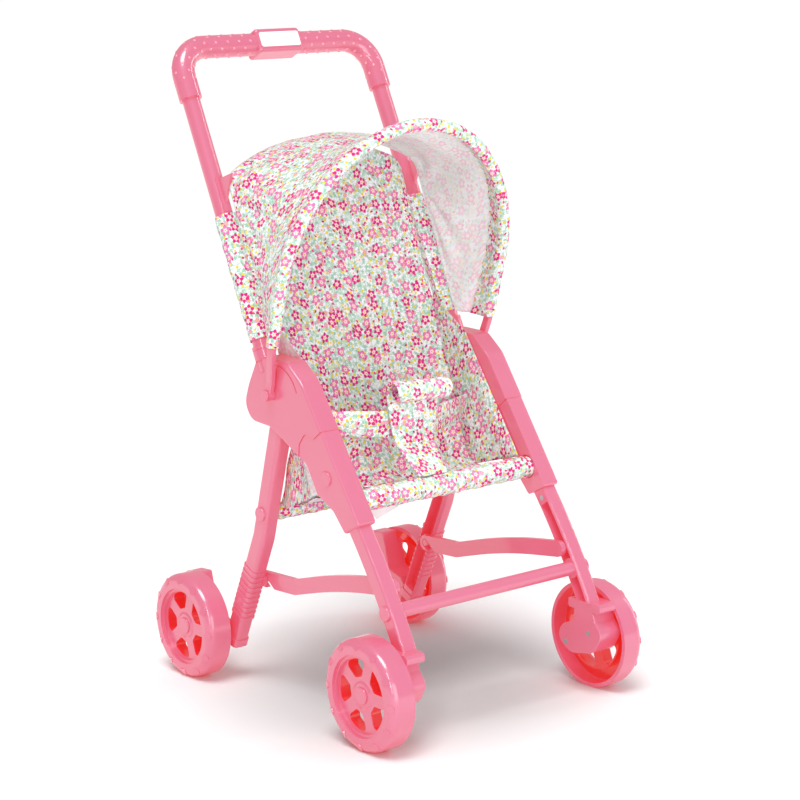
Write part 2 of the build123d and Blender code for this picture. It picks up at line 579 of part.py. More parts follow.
# Side stay: a bar that pivots on the front leg and drops its open hook over a peg on the rear leg.
stay_out = leg_inner - STAY_GAP
stay_in = stay_out - STAY_THICKNESS
kink = shifted(stay_rear, -STAY_KINK_LEAD, STAY_KINK_DROP)
half = STAY_HEIGHT / 2
crown = ((stay_front[0] + kink[0]) / 2, (stay_front[1] + kink[1]) / 2 + STAY_RISE)
upper = FilletPolyline(shifted(stay_front, 0, half), shifted(crown, 0, half), shifted(kink, 0, half),
                       shifted(stay_rear, 0, half), radius=[STAY_CROWN_RADIUS, STAY_KINK_RADIUS])
lower = FilletPolyline(shifted(stay_rear, 0, -half), shifted(kink, 0, -half), shifted(crown, 0, -half),
                       shifted(stay_front, 0, -half), radius=[STAY_KINK_RADIUS, STAY_CROWN_RADIUS])
stay_face = make_face(upper + Line(upper @ 1, lower @ 0) + lower + Line(lower @ 1, upper @ 0))
stay_face += Pos(*stay_front) * Circle(half)
stay_face += Pos(*stay_rear) * Circle(half)


def turned(point, centre, angle):
    """A side-view point turned about a centre by an angle, from behind towards the top."""
    y, z = point[0] - centre[0], point[1] - centre[1]
    a = radians(angle)
    return shifted(centre, y * cos(a) - z * sin(a), y * sin(a) + z * cos(a))


hook_width = PEG_RADIUS + HOOK_CLEARANCE
folded_peg = turned(stay_rear, hinge, -HOOK_FOLD_ANGLE)
leaving_peg = turned(folded_peg, stay_front, -STAY_TURN_SHARE * HOOK_FOLD_ANGLE)
drop = atan2(stay_rear[1] - leaving_peg[1], stay_rear[0] - leaving_peg[0])
hook_end = shifted(stay_rear, -3 * half * cos(drop), -3 * half * sin(drop))
across = (hook_width * sin(drop), -hook_width * cos(drop))
stay_face -= make_face(Polyline(shifted(stay_rear, across[0], across[1]), shifted(hook_end, across[0], across[1]),
                                shifted(hook_end, -across[0], -across[1]),
                                shifted(stay_rear, -across[0], -across[1]), close=True))
stay_face -= Pos(*stay_rear) * Circle(hook_width)
stay = slab(stay_face, stay_in, stay_out)
stay -= rod(stay_front, stay_in - 1, stay_out + 1, PEG_RADIUS + RUNNING)
stay_pin = rod(stay_front, stay_in, channel_floor, PEG_RADIUS)

# Handle: two tubes in the housings' sockets, joined by one U-shaped grip with a blank plate.
tube_end = HANDLE_REACH - GRIP_LEG + TUBE_IN_GRIP
tube = along_tube(TUBE_FOOT, tube_end, TUBE_RADIUS) - along_tube(TUBE_FOOT - 1, tube_end + 1, TUBE_RADIUS - TUBE_WALL)
handle_plane = Plane((0, hinge[0] + TUBE_SETBACK, hinge[1]), x_dir=(1, 0, 0), z_dir=tube_base.z_dir)
grip_path = handle_plane * FilletPolyline(
    (tube_x, HANDLE_REACH - GRIP_LEG), (tube_x, HANDLE_REACH), (-tube_x, HANDLE_REACH),
    (-tube_x, HANDLE_REACH - GRIP_LEG), radius=GRIP_BEND,
)
grip = sweep(Plane(grip_path @ 0, z_dir=grip_path % 0) * Circle(GRIP_RADIUS), path=grip_path)
grip_bore = along_tube(HANDLE_REACH - GRIP_LEG - 1, tube_end, TUBE_RADIUS + FIT)
grip -= [grip_bore, mirror(grip_bore, about=Plane.YZ)]
grip_bar = handle_plane.from_local_coords((0, HANDLE_REACH, 0))
grip_axis = (grip_bar.Y, grip_bar.Z)
grip_face = Plane(grip_bar, x_dir=(1, 0, 0), z_dir=handle_plane.z_dir)
block = grip_face * Box(BLOCK_LENGTH, BLOCK_SIZE, BLOCK_SIZE)
grip += fillet(block.edges(), BLOCK_ROUND)
plate_base = grip_face.offset(BLOCK_SIZE / 2 + PLATE_PROUD - PLATE_THICKNESS)
plate_face = plate_base * RectangleRounded(PLATE_LENGTH, PLATE_HEIGHT, PLATE_ROUND)
grip_plate = extrude(plate_face, amount=PLATE_THICKNESS)
grip -= grip_plate
clip_middle = (CLIP_START + CLIP_END) / 2
clip_plane = Plane(tube_axis.origin, x_dir=handle_plane.z_dir, z_dir=(-1, 0, 0))
clip_face = make_face(Polyline((0, CLIP_START), (0, CLIP_END), (CLIP_REACH, CLIP_END - CLIP_DROP), close=True))
clip = extrude(clip_plane * clip_face, amount=CLIP_FIN / 2, both=True)
saddle = clip_plane * Pos(TUBE_RADIUS, clip_middle) * Box(2 * TUBE_RADIUS, CLIP_END - CLIP_START, 3 * CLIP_FIN)
clip += along_tube(CLIP_START, CLIP_END, TUBE_RADIUS + CLIP_WALL) & saddle
clip -= along_tube(CLIP_START - 1, CLIP_END + 1, TUBE_RADIUS + FIT / 2)

# Canopy: a sprung bow on the hinge pins, the hem round it, and one cover stretched back to the tubes.
bow_x = housing_outer + 0.8 + BOW_RADIUS


def arch(half_width, spring, top, crown_radius):
    """Three tangent arcs from the right spring point over the top to the left one."""
    rise = top - spring
    side_radius = ((half_width ** 2 + (rise - crown_radius) ** 2 - crown_radius ** 2)
                   / (2 * (half_width - crown_radius)))
    side_centre = half_width - side_radius
    flip = 1 if side_radius > crown_radius else -1
    turn = degrees(atan2(flip * (rise - crown_radius), -flip * side_centre))
    return [
        CenterArc((side_centre, spring), side_radius, 0, turn),
        CenterArc((0, top - crown_radius), crown_radius, turn, 180 - 2 * turn),
        CenterArc((-side_centre, spring), side_radius, 180 - turn, turn),
    ]


def cloth_arch(plane, half_width, foot, spring, top, crown_radius):
    """The arch-shaped edge of the cover in one plane, as thick as the cloth."""
    outer = arch(half_width, spring, top, crown_radius)
    inner = arch(half_width - CLOTH, spring, top - CLOTH, crown_radius - CLOTH)
    edges = [Line((half_width, foot), (half_width, spring)), *outer,
             Line((-half_width, spring), (-half_width, foot)),
             Line((-half_width, foot), (CLOTH - half_width, foot)),
             Line((CLOTH - half_width, foot), (CLOTH - half_width, spring)), *inner,
             Line((half_width - CLOTH, spring), (half_width - CLOTH, foot)),
             Line((half_width - CLOTH, foot), (half_width, foot))]
    return plane * make_face(edges)


bow_plane = lean_plane(BOW_TILT)
bow_arch = arch(BOW_HALF_WIDTH, BOW_SPRING, BOW_TOP, BOW_CROWN_RADIUS)
bow_side = FilletPolyline((bow_x, 0), (bow_x, BOW_JOGGLE * 0.3), (BOW_HALF_WIDTH, BOW_JOGGLE),
                          (BOW_HALF_WIDTH, BOW_SPRING), radius=25)
bow_other = mirror(bow_side, about=Plane.YZ)
bow_path = bow_plane * Curve([*bow_side.edges(), *[e for a in bow_arch for e in a.edges()], *bow_other.edges()])
bow_wire = Wire(bow_path.edges())
bow_start = bow_plane.from_local_coords((bow_x, 0, 0))
bow = sweep(Plane(bow_start, z_dir=bow_plane.y_dir) * Circle(BOW_RADIUS), path=bow_wire)
bow_eye = rod(hinge, housing_outer + 0.3, bow_x + BOW_RADIUS + 0.5, BOW_EYE_RADIUS)
pin_hole = rod(hinge, 0, bow_x + 20, HINGE_PIN_RADIUS + RUNNING)
lever_path = bow_plane * FilletPolyline((bow_x, 0), (bow_x, BOW_JOGGLE * 0.3), (BOW_HALF_WIDTH, BOW_JOGGLE),
                                        (BOW_HALF_WIDTH, HEM_START - SOFT_GAP), radius=25)
lever_base = Plane(bow_start, x_dir=(1, 0, 0), z_dir=bow_plane.y_dir)
lever = sweep(lever_base * RectangleRounded(LEVER_THICKNESS, LEVER_DEPTH, LEVER_ROUND), path=lever_path)
bow += [bow_eye, lever, mirror(bow_eye, about=Plane.YZ), mirror(lever, about=Plane.YZ)]
bow -= [pin_hole, mirror(pin_hole, about=Plane.YZ)]
hem_line = Line((BOW_HALF_WIDTH, HEM_START), (BOW_HALF_WIDTH, BOW_SPRING))
hem_other = Line((-BOW_HALF_WIDTH, BOW_SPRING), (-BOW_HALF_WIDTH, HEM_START))
hem_wire = Wire((bow_plane * Curve([hem_line, *[e for a in bow_arch for e in a.edges()], hem_other])).edges())
hem_start = bow_plane.from_local_coords((BOW_HALF_WIDTH, HEM_START, 0))
hem_base = Plane(hem_start, z_dir=bow_plane.y_dir)
hem = (sweep(hem_base * Circle(HEM_RADIUS), path=hem_wire)
       - sweep(hem_base * Circle(BOW_RADIUS + SOFT_GAP), path=hem_wire))
rear_edge = lean_plane(CANOPY_REAR_TILT, behind=-CANOPY_REAR_LEAD)
front_edge = bow_plane.offset(-HEM_RADIUS - SOFT_GAP)
middle_half = (CANOPY_REAR_HALF_WIDTH + BOW_HALF_WIDTH + CLOTH) / 2
cover = loft([
    cloth_arch(rear_edge, CANOPY_REAR_HALF_WIDTH, SLEEVE_CLOTH_START, CANOPY_REAR_SPRING, CANOPY_REAR_TOP,
               CANOPY_REAR_CROWN_RADIUS),
    cloth_arch(lean_plane(CANOPY_MIDDLE_TILT), middle_half, (SLEEVE_CLOTH_START + HEM_START) / 2,
               (CANOPY_REAR_SPRING + BOW_SPRING) / 2, (CANOPY_REAR_TOP + BOW_TOP) / 2 * 0.955 - CANOPY_SAG,
               (CANOPY_REAR_CROWN_RADIUS + BOW_CROWN_RADIUS) / 2),
    cloth_arch(front_edge, BOW_HALF_WIDTH + CLOTH, HEM_START, BOW_SPRING, BOW_TOP + CLOTH,
               BOW_CROWN_RADIUS + CLOTH),
], ruled=True)

# Hinge pin: one through each housing, the rear leg's eye and the bow's eye.
hinge_pin = rod(hinge, housing_inner, bow_x + BOW_RADIUS + 1.0, HINGE_PIN_RADIUS)
hinge_pin += fillet(rod(hinge, bow_x + BOW_RADIUS + 0.8, bow_x + BOW_RADIUS + 2.4, HINGE_PIN_RADIUS + 1.6)
                    .edges().group_by(Axis.X)[-1], 0.8)

# Cross members
crossbar = rod(crossbar_point, -leg_inner, leg_inner, CROSSBAR_RADIUS)
crossbar += rod(crossbar_point, -channel_floor + 1, channel_floor - 1, SPIGOT_RADIUS)
crossbar_cap = fillet(rod(crossbar_point, leg_outer, leg_outer + BOSS_RISE, BOSS_RADIUS)
                      .edges().group_by(Axis.X)[-1], 0.8)
front_seat_bar = rod(front_bar, -bar_end + 0.5, bar_end - 0.5, FRONT_BAR_RADIUS)
rear_seat_bar = rod(rear_bar, -channel_floor + 0.5, channel_floor - 0.5, REAR_BAR_RADIUS)
rear_bar_cap = fillet(rod(rear_bar, leg_outer, leg_outer + BOSS_RISE, BOSS_RADIUS)
                      .edges().group_by(Axis.X)[-1], 0.8)

# Seat cloth: back panel, two side wings, pan and tail, with hems round the two seat bars.
wing_out = housing_inner - SOFT_GAP
wing_in = wing_out - CLOTH
seat_half = wing_in - SOFT_GAP
crease = shifted(hinge, -CREASE_LEAD, -CREASE_DROP)
back_up = (sin(radians(BACK_TILT)), cos(radians(BACK_TILT)))


def on_back(length, behind):
    """A side-view point up the back panel's front face and a distance behind it."""
    return shifted(crease, length * back_up[0] + behind * back_up[1], length * back_up[1] - behind * back_up[0])


back_plane = Plane((0, *crease), x_dir=(1, 0, 0), z_dir=(0, -back_up[1], back_up[0]))
back_face = make_face([
    Line((seat_half, 0), (seat_half, BACK_SPRING)), *arch(seat_half, BACK_SPRING, BACK_TOP, BACK_CROWN_RADIUS),
    Line((-seat_half, BACK_SPRING), (-seat_half, 0)), Line((-seat_half, 0), (seat_half, 0)),
])
seat_back = extrude(back_plane * back_face, amount=-CLOTH)
front_hem = rod(front_bar, -hem_pocket + 0.5, hem_pocket - 0.5, FRONT_HEM_RADIUS)
front_hem -= rod(front_bar, -hem_pocket, hem_pocket, FRONT_BAR_RADIUS + SOFT_GAP)
rear_hem_end = leg_inner - SOFT_GAP
rear_hem = rod(rear_bar, -rear_hem_end, rear_hem_end, REAR_HEM_RADIUS)
rear_hem -= rod(rear_bar, -rear_hem_end - 1, rear_hem_end + 1, REAR_BAR_RADIUS + SOFT_GAP)
front_clear = Pos(*front_bar) * Circle(FRONT_HEM_RADIUS + SOFT_GAP)
rear_clear = Pos(*rear_bar) * Circle(REAR_HEM_RADIUS + SOFT_GAP)
pan_start = shifted(front_bar, 2.0, 4.0)
pan_end = on_back(0, -SOFT_GAP)
pan_middle = ((pan_start[0] + pan_end[0]) / 2, (pan_start[1] + pan_end[1]) / 2 - PAN_SAG)
pan_top = ThreePointArc(pan_start, pan_middle, pan_end)
pan_under = ThreePointArc(shifted(pan_end, 0, -CLOTH), shifted(pan_middle, 0, -CLOTH), shifted(pan_start, 0, -CLOTH))
pan_face = make_face(pan_top + Line(pan_top @ 1, pan_under @ 0) + pan_under + Line(pan_under @ 1, pan_top @ 0))
pan_face -= front_clear
seat_pan = slab(pan_face, -seat_half, seat_half)
tail_start = on_back(-SOFT_GAP, CLOTH / 2)
tail_face = make_face(Polyline(tail_start, rear_bar, shifted(rear_bar, 0, -CLOTH), shifted(tail_start, 0, -CLOTH),
                               close=True))
tail_face -= rear_clear
tail_face -= pan_face
seat_tail = slab(tail_face, -seat_half, seat_half)
gusset_face = make_face(Polyline(on_back(2, CLOTH + SOFT_GAP), on_back(GUSSET_TOP, CLOTH + SOFT_GAP), rear_bar,
                                 close=True)) - rear_clear
gusset = slab(gusset_face, seat_half - CLOTH, seat_half)
seat_tail += [gusset, mirror(gusset, about=Plane.YZ)]
WING_FRONT = ((-14.0, 31.5), (-53.0, -25.5), (-80.0, -64.0))
wing_face = make_face(Polyline(
    on_back(4.0, -SOFT_GAP), on_back(WING_TOP, -SOFT_GAP), *[shifted(hinge, *p) for p in WING_FRONT],
    shifted(front_bar, 14.0, 4.0), close=True,
))
wing_face -= front_clear
wing = slab(wing_face, wing_in, wing_out)
belt_z = hinge[1] - BELT_DROP - BELT_HEIGHT / 2
belt_end = hinge[0] - BELT_END_LEAD
belt_front = hinge[0] - BELT_MIDDLE_LEAD
belt_far_end = hinge[0] - BELT_FAR_END_LEAD
belt_turn = (BELT_TURN, belt_front)
belt_middle = ((BELT_TURN - seat_half) / 2, (belt_front + belt_end) / 2 - BELT_BULGE)
belt_far = (seat_half, belt_far_end)
belt_near = (-seat_half, belt_end)
belt_back = [shifted(p, 0, CLOTH) for p in (belt_near, belt_middle, belt_turn, belt_far)]
belt_outer = Line(belt_far, belt_turn) + ThreePointArc(belt_turn, belt_middle, belt_near)
belt_inner = ThreePointArc(*belt_back[:3]) + Line(belt_back[2], belt_back[3])
belt_face = make_face(belt_outer + Line(belt_near, belt_back[0]) + belt_inner + Line(belt_back[3], belt_far))
waist_belt = Pos(0, 0, belt_z) * extrude(belt_face, amount=BELT_HEIGHT)
strap_front = belt_front - SOFT_GAP
strap_foot = shifted(front_bar, 1.0, FRONT_HEM_RADIUS + SOFT_GAP)
roll = (strap_front - CLOTH + STRAP_ROLL, belt_z + BELT_HEIGHT + STRAP_ROLL_RISE)
strap_face = make_face(Polyline(
    strap_foot, (strap_front, belt_z), (strap_front, roll[1]), (strap_front - CLOTH, roll[1]),
    (strap_front - CLOTH, belt_z), shifted(strap_foot, -CLOTH, 0), close=True,
))
strap_face += Pos(*roll) * (Circle(STRAP_ROLL) - Circle(STRAP_ROLL - CLOTH))
strap_face -= front_clear
strap_low = strap_foot[1] - FRONT_HEM_RADIUS
strap_high = roll[1] + STRAP_ROLL
strap_outline = make_face(Polyline(
    (STRAP_FOOT_OFFSET - STRAP_FOOT_WIDTH / 2, strap_low), (STRAP_FOOT_OFFSET + STRAP_FOOT_WIDTH / 2, strap_low),
    (STRAP_TOP_OFFSET + STRAP_TOP_WIDTH / 2, strap_high), (STRAP_TOP_OFFSET - STRAP_TOP_WIDTH / 2, strap_high),
    close=True,
))
crotch_strap = slab(strap_face, -seat_half, seat_half)
crotch_strap &= extrude(Plane.XZ * strap_outline, amount=WHEELBASE, both=True)
tube_sleeve = (along_tube(SLEEVE_CLOTH_START, SLEEVE_CLOTH_END, TUBE_RADIUS + SOFT_GAP + SLEEVE_CLOTH)
               - along_tube(SLEEVE_CLOTH_START - 1, SLEEVE_CLOTH_END + 1, TUBE_RADIUS + SOFT_GAP))

for name, piece in (
    ("handle_tube", tube), ("housing_outer", housing_halves["outer"]), ("housing_inner", housing_halves["inner"]),
    ("leg_sleeve", sleeve), ("front_leg", front_leg), ("front_bracket", front_bracket),
    ("front_bracket_cover", front_cover), ("rear_leg", rear_leg), ("rear_bracket", rear_bracket),
    ("side_stay", stay), ("seat_wing", wing), ("tube_sleeve", tube_sleeve),
):
    parts[f"{name}_right"] = piece
    parts[f"{name}_left"] = mirror(piece, about=Plane.YZ)

parts.update({
    "handle_grip": grip, "grip_plate": grip_plate, "front_crossbar": crossbar, "front_seat_bar": front_seat_bar,
    "rear_seat_bar": rear_seat_bar, "canopy_bow": bow, "canopy_hem": hem, "canopy_cover": cover,
    "seat_back": seat_back, "seat_pan": seat_pan, "seat_tail": seat_tail, "front_hem": front_hem,
    "rear_hem": rear_hem, "waist_belt": waist_belt, "crotch_strap": crotch_strap,
})
for name, piece in (
    ("canopy_clips", clip), ("hinge_pins", hinge_pin), ("crossbar_caps", crossbar_cap),
    ("rear_bar_caps", rear_bar_cap), ("stay_pins", stay_pin), ("stay_pegs", stay_peg),
    ("front_axles", rod(front_axle, axle_start, axle_end, AXLE_RADIUS)),
    ("rear_axles", rod(rear_axle, rear_axle_start, axle_end, AXLE_RADIUS)),
):
    parts[name] = both_sides(piece)
parts["frame_screws"] = both_sides(Compound(children=[s for f in frame_screws for s in f.solids()]))
parts["rear_screws"] = both_sides(Compound(children=[s for f in rear_screws for s in f.solids()]))

os.makedirs("parts", exist_ok=True)
for name, piece in parts.items():
    export_step(piece, f"parts/{name}.step")
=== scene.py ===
import json
import bpy
import numpy as np
from mathutils import Matrix, Vector


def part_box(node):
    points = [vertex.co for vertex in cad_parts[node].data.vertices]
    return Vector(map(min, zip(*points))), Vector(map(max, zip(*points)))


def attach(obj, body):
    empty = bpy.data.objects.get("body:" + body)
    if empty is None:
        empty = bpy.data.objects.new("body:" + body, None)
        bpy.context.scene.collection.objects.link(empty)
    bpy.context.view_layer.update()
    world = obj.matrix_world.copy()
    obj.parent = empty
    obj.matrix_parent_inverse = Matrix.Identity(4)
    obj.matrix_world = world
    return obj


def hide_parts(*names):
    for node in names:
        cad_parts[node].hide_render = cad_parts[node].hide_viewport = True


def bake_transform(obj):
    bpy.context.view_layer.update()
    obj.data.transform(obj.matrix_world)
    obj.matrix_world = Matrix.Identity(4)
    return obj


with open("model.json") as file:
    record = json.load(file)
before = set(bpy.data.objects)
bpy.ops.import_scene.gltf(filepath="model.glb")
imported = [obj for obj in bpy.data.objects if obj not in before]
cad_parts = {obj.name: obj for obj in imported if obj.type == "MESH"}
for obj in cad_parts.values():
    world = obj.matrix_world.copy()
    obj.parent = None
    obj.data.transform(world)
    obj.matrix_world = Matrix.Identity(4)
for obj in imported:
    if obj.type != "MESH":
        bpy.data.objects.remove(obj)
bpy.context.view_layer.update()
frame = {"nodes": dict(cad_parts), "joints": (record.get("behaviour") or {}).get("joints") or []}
nodes = frame["nodes"]
scene = bpy.context.scene

# The studio: a white floor that runs out of sight under one very broad light from above on the left, with a large soft
# box in front and a narrow strip on each side for the thin bright edges. A long lens looks down a little on the
# stroller's front left corner, and a soft shadow is painted on the floor where the stroller stands.
scene.view_settings.view_transform = "Standard"
azimuth, elevation, roll = np.radians([-37.594, 10.999, -1.541])
camera_aim, camera_distance = np.array([0.02803, 0.01540, 0.24139]), 1.88726
focal_length, sensor_width, far_clip = 98.26, 36.0, 500.0
sun_power, sun_spread, sun_way = 2.05, np.radians(30.0), Vector((0.30, 0.25, -1.0))
air_strength = 0.48
floor_half, floor_white, floor_rough = 200, (0.97, 0.97, 0.97, 1), 0.9
shadow_middle, shadow_inside, shadow_outside, shadow_depth = (0.0, -0.022, 0.0), 0.03, 0.30, 0.47

back = np.array([np.sin(azimuth) * np.cos(elevation), -np.cos(azimuth) * np.cos(elevation), np.sin(elevation)])
level = np.cross(-back, [0, 0, 1])
level /= np.linalg.norm(level)
upright = np.cross(level, -back)
right = np.cos(roll) * level + np.sin(roll) * upright
upright = np.cos(roll) * upright - np.sin(roll) * level
lens = bpy.data.cameras.new("studio_camera")
lens.lens, lens.sensor_width, lens.clip_end = focal_length, sensor_width, far_clip
camera = bpy.data.objects.new("studio_camera", lens)
turned, stand = np.stack([right, upright, back], 1), camera_aim + back * camera_distance
camera.matrix_world = Matrix([[*row, place] for row, place in zip(turned, stand)] + [[0, 0, 0, 1]])
scene.collection.objects.link(camera)
scene.camera = camera


def hang(light, place, way):
    """Hangs a light at a place in the studio, shining along a direction."""
    holder = bpy.data.objects.new(light.name, light)
    holder.location = place
    holder.rotation_euler = way.to_track_quat("-Z", "Y").to_euler()
    scene.collection.objects.link(holder)


sun = bpy.data.lights.new("broad", "SUN")
sun.energy, sun.angle = sun_power, sun_spread
hang(sun, (0, 0, 0), sun_way)
for label, place, aim, long, wide, power in (
    ("left_box", (-1.6, -1.5, 1.0), (0, 0, 0.25), 1.5, 0.15, 10),
    ("front_box", (-0.4, -2.2, 0.55), (0, 0, 0.35), 1.2, 1.6, 17),
    ("right_box", (2.0, -0.5, 0.9), (0, 0, 0.3), 1.7, 0.12, 9),
):
    box = bpy.data.lights.new(label, "AREA")
    box.shape, box.size, box.size_y, box.energy = "RECTANGLE", wide, long, power
    hang(box, place, Vector(aim) - Vector(place))
scene.world = bpy.data.worlds.new("studio_air")
scene.world.use_nodes = True
air = scene.world.node_tree.nodes["Background"].inputs
air["Color"].default_value, air["Strength"].default_value = (1, 1, 1, 1), air_strength


class Ink:
    """One socket of a material's nodes. Arithmetic on it adds Math nodes, and node() adds any other."""

    def __init__(self, tree, socket):
        self.tree, self.socket = tree, socket

    def node(self, kind, sockets, out=0, **settings):
        """A node of a kind: its settings first, then the values or links of its sockets."""
        made = self.tree.nodes.new(kind)
        for name, value in settings.items():
            setattr(made, name, value)
        for name, value in sockets.items():
            if isinstance(value, Ink):
                self.tree.links.new(value.socket, made.inputs[name])
            else:
                made.inputs[name].default_value = value
        return Ink(self.tree, made.outputs[out])

    def other(self, out):
        """Another output of the same node."""
        return Ink(self.tree, self.socket.node.outputs[out])

    def math(self, operation, *values, **settings):
        return self.node("ShaderNodeMath", dict(enumerate(values)), operation=operation, **settings)

    def __add__(self, value):
        return self.math("ADD", self, value)

    def __sub__(self, value):
        return self.math("SUBTRACT", self, value)

    def __rsub__(self, value):
        return self.math("SUBTRACT", value, self)

    def __mul__(self, value):
        return self.math("MULTIPLY", self, value)

    def __truediv__(self, value):
        return self.math("DIVIDE", self, value)

    def __pow__(self, value):
        return self.math("POWER", self, value)

    __radd__ = __add__
    __rmul__ = __mul__

    def absolute(self):
        return self.math("ABSOLUTE", self)

    def above(self, limit):
        return self.math("GREATER_THAN", self, limit)

    def clipped(self):
        return self.math("ADD", self, 0.0, use_clamp=True)

    def between(self, low, high):
        """This factor mixes one colour into another."""
        return self.node("ShaderNodeMix", {0: self, 6: low, 7: high}, out=2, data_type="RGBA")


def finish_of(name):
    """A new material, its principled shader, and the surface's own place in the object as ink."""
    material = bpy.data.materials.new(name)
    material.use_nodes = True
    tree = material.node_tree
    shader = tree.nodes["Principled BSDF"]
    place = Ink(tree, tree.nodes.new("ShaderNodeTexCoord").outputs["Object"])
    return material, shader, place


def feed(ink, socket):
    ink.tree.links.new(ink.socket, socket)


floor_mesh = bpy.data.meshes.new("studio_floor")
floor_corners = [(-floor_half, -floor_half, 0), (floor_half, -floor_half, 0),
                 (floor_half, floor_half, 0), (-floor_half, floor_half, 0)]
floor_mesh.from_pydata(floor_corners, [], [(0, 1, 2, 3)])
floor = bpy.data.objects.new("studio_floor", floor_mesh)
scene.collection.objects.link(floor)
floor_paint, floor_shader, floor_place = finish_of("studio_floor")
floor_shader.inputs["Roughness"].default_value = floor_rough
# A painted shadow: the floor's colour darkens smoothly towards the middle of the pool under the stroller.
away = floor_place.node("ShaderNodeVectorMath", {0: floor_place, 1: shadow_middle}, operation="DISTANCE", out="Value")
pool = away.node("ShaderNodeMapRange", {"Value": away, "From Min": shadow_inside, "From Max": shadow_outside,
                                        "To Min": shadow_depth, "To Max": 0.0}, interpolation_type="SMOOTHERSTEP")
feed(pool.between(floor_white, (0, 0, 0, 1)), floor_shader.inputs["Base Color"])
floor_mesh.materials.append(floor_paint)

# Moulded pieces: housings, sleeves, legs, brackets, stays, tubes, bars, pins and caps, all injection-moulded in one
# pink plastic with a glossy skin, and plugged, pinned or screwed together. A faint red glow is painted into the
# plastic, standing in for the light that scatters inside it.
plastic_pink, plastic_deeper, plastic_rough = (0.24, 0.136, 0.232), (0.22, 0.121, 0.212), 0.33
# The emission settings paint a red glow into the plastic, also in the wheels and the grip's pimples.
plastic_skin_and_glow = {"Specular IOR Level": 0.50, "Coat Weight": 0.60, "Coat IOR": 1.85, "Coat Roughness": 0.08,
                "Emission Color": (1.0, 0.02, 0.01, 1), "Emission Strength": 0.53}


def noise(place, scale, detail=2.0):
    return place.node("ShaderNodeTexNoise", {"Vector": place, "Scale": scale, "Detail": detail}, out="Fac")


def bump(height, strength, distance):
    return height.node("ShaderNodeBump", {"Height": height, "Strength": strength, "Distance": distance})


def moulded_plastic(name, colour, deeper, rough):
    """Pink plastic: a slow change of tone from flow in the mould, a satin roughness and a very fine grain."""
    material, shader, place = finish_of(name)
    feed(noise(place, scale=22.0).between((*colour, 1), (*deeper, 1)), shader.inputs["Base Color"])
    rough_swing = 0.14
    feed(noise(place, scale=140.0) * rough_swing + (rough - rough_swing / 2), shader.inputs["Roughness"])
    grain = noise(place, scale=2600.0, detail=1.0)
    feed(bump(grain, strength=0.05, distance=0.0004), shader.inputs["Normal"])
    # The skin's emission is a painted red glow.
    for socket, value in plastic_skin_and_glow.items():
        shader.inputs[socket].default_value = value
    return material


def paint(names, material):
    """Gives each of the named CAD pieces one material."""
    for name in names:
        nodes[name].data.materials.clear()
        nodes[name].data.materials.append(material)


pink_plastic = moulded_plastic("pink_plastic", plastic_pink, plastic_deeper, plastic_rough)
pink_starts = ("hub_cap_", "housing_", "leg_sleeve_", "front_leg_", "front_bracket_", "rear_leg_", "rear_bracket_",
               "side_stay_", "handle_tube_", "handle_grip", "canopy_clips", "canopy_bow", "hinge_pins", "crossbar_caps",
               "rear_bar_caps", "front_crossbar", "front_seat_bar", "rear_seat_bar", "stay_pins", "stay_pegs")
paint([name for name in nodes if name.startswith(pink_starts)], pink_plastic)

# The wheels: hollow mouldings of the same plastic, open between the spokes, that turn on the axles. Their insides
# behind the spokes and within the tread are painted a deeper, darker red: a painted shade for the light caught there.
tread_inside, spoke_face, painted_shade_blur, painted_shade_red = 0.0419, 0.1277, 0.0008, (0.30, 0.012, 0.022, 1)


def joint_at(name):
    """Where a joint sits in the frame, in metres."""
    return np.array(next(joint for joint in frame["joints"] if joint["name"] == name)["pos_m"])


def edge_of(depth, blur=0.22):
    """One inside an edge and nothing outside it, blurred across the edge."""
    return (depth / blur + 0.5).clipped()


axle_back, axle_height = np.abs(joint_at("rear_left_roll")[1:])
wheel_plastic = pink_plastic.copy()
wheel_plastic.name = "wheel_plastic"
wheel_tree = wheel_plastic.node_tree
wheel_place = Ink(wheel_tree, wheel_tree.nodes["Texture Coordinate"].outputs["Object"])
along_axle = wheel_place.node("ShaderNodeSeparateXYZ", {0: wheel_place}, out="X")
from_axle = (along_axle.other("Y").absolute() - axle_back) ** 2 + (along_axle.other("Z") - axle_height) ** 2
# Painted shade: inside the tread and behind the spokes' faces the colour turns deep red.
inside_tread = edge_of(tread_inside - from_axle ** 0.5, painted_shade_blur)
behind_spokes = edge_of(spoke_face - along_axle.absolute(), painted_shade_blur)
wheel_colour = wheel_tree.nodes["Principled BSDF"].inputs["Base Color"]
wheel_skin = Ink(wheel_tree, wheel_colour.links[0].from_socket)
feed((inside_tread * behind_spokes).between(wheel_skin, painted_shade_red), wheel_colour)
paint([name for name in nodes if name.startswith("wheel_")], wheel_plastic)

# Screws and axles: plain bare steel with an uneven dull shine. The screws close the mouldings, and the axles carry
# the wheels in their brackets.
steel_dark, steel_bright = (0.46, 0.46, 0.47, 1), (0.62, 0.62, 0.63, 1)
turned_steel, steel_shader, steel_place = finish_of("turned_steel")
feed(noise(steel_place, scale=900.0).between(steel_dark, steel_bright), steel_shader.inputs["Base Color"])
feed(noise(steel_place, scale=400.0) * 0.25 + 0.25, steel_shader.inputs["Roughness"])
steel_shader.inputs["Metallic"].default_value = 1.0
paint(("frame_screws", "rear_screws", "front_axles", "rear_axles"), turned_steel)

# The blank plate: a smooth white plastic plate, snapped on the block in the middle of the grip and left bare.
plate_white, plate_greyer = (0.90, 0.89, 0.89, 1), (0.86, 0.85, 0.86, 1)
white_plate, plate_shader, plate_place = finish_of("white_plate")
feed(noise(plate_place, scale=60.0).between(plate_white, plate_greyer), plate_shader.inputs["Base Color"])
feed(noise(plate_place, scale=200.0) * 0.1 + 0.3, plate_shader.inputs["Roughness"])
paint(("grip_plate",), white_plate)
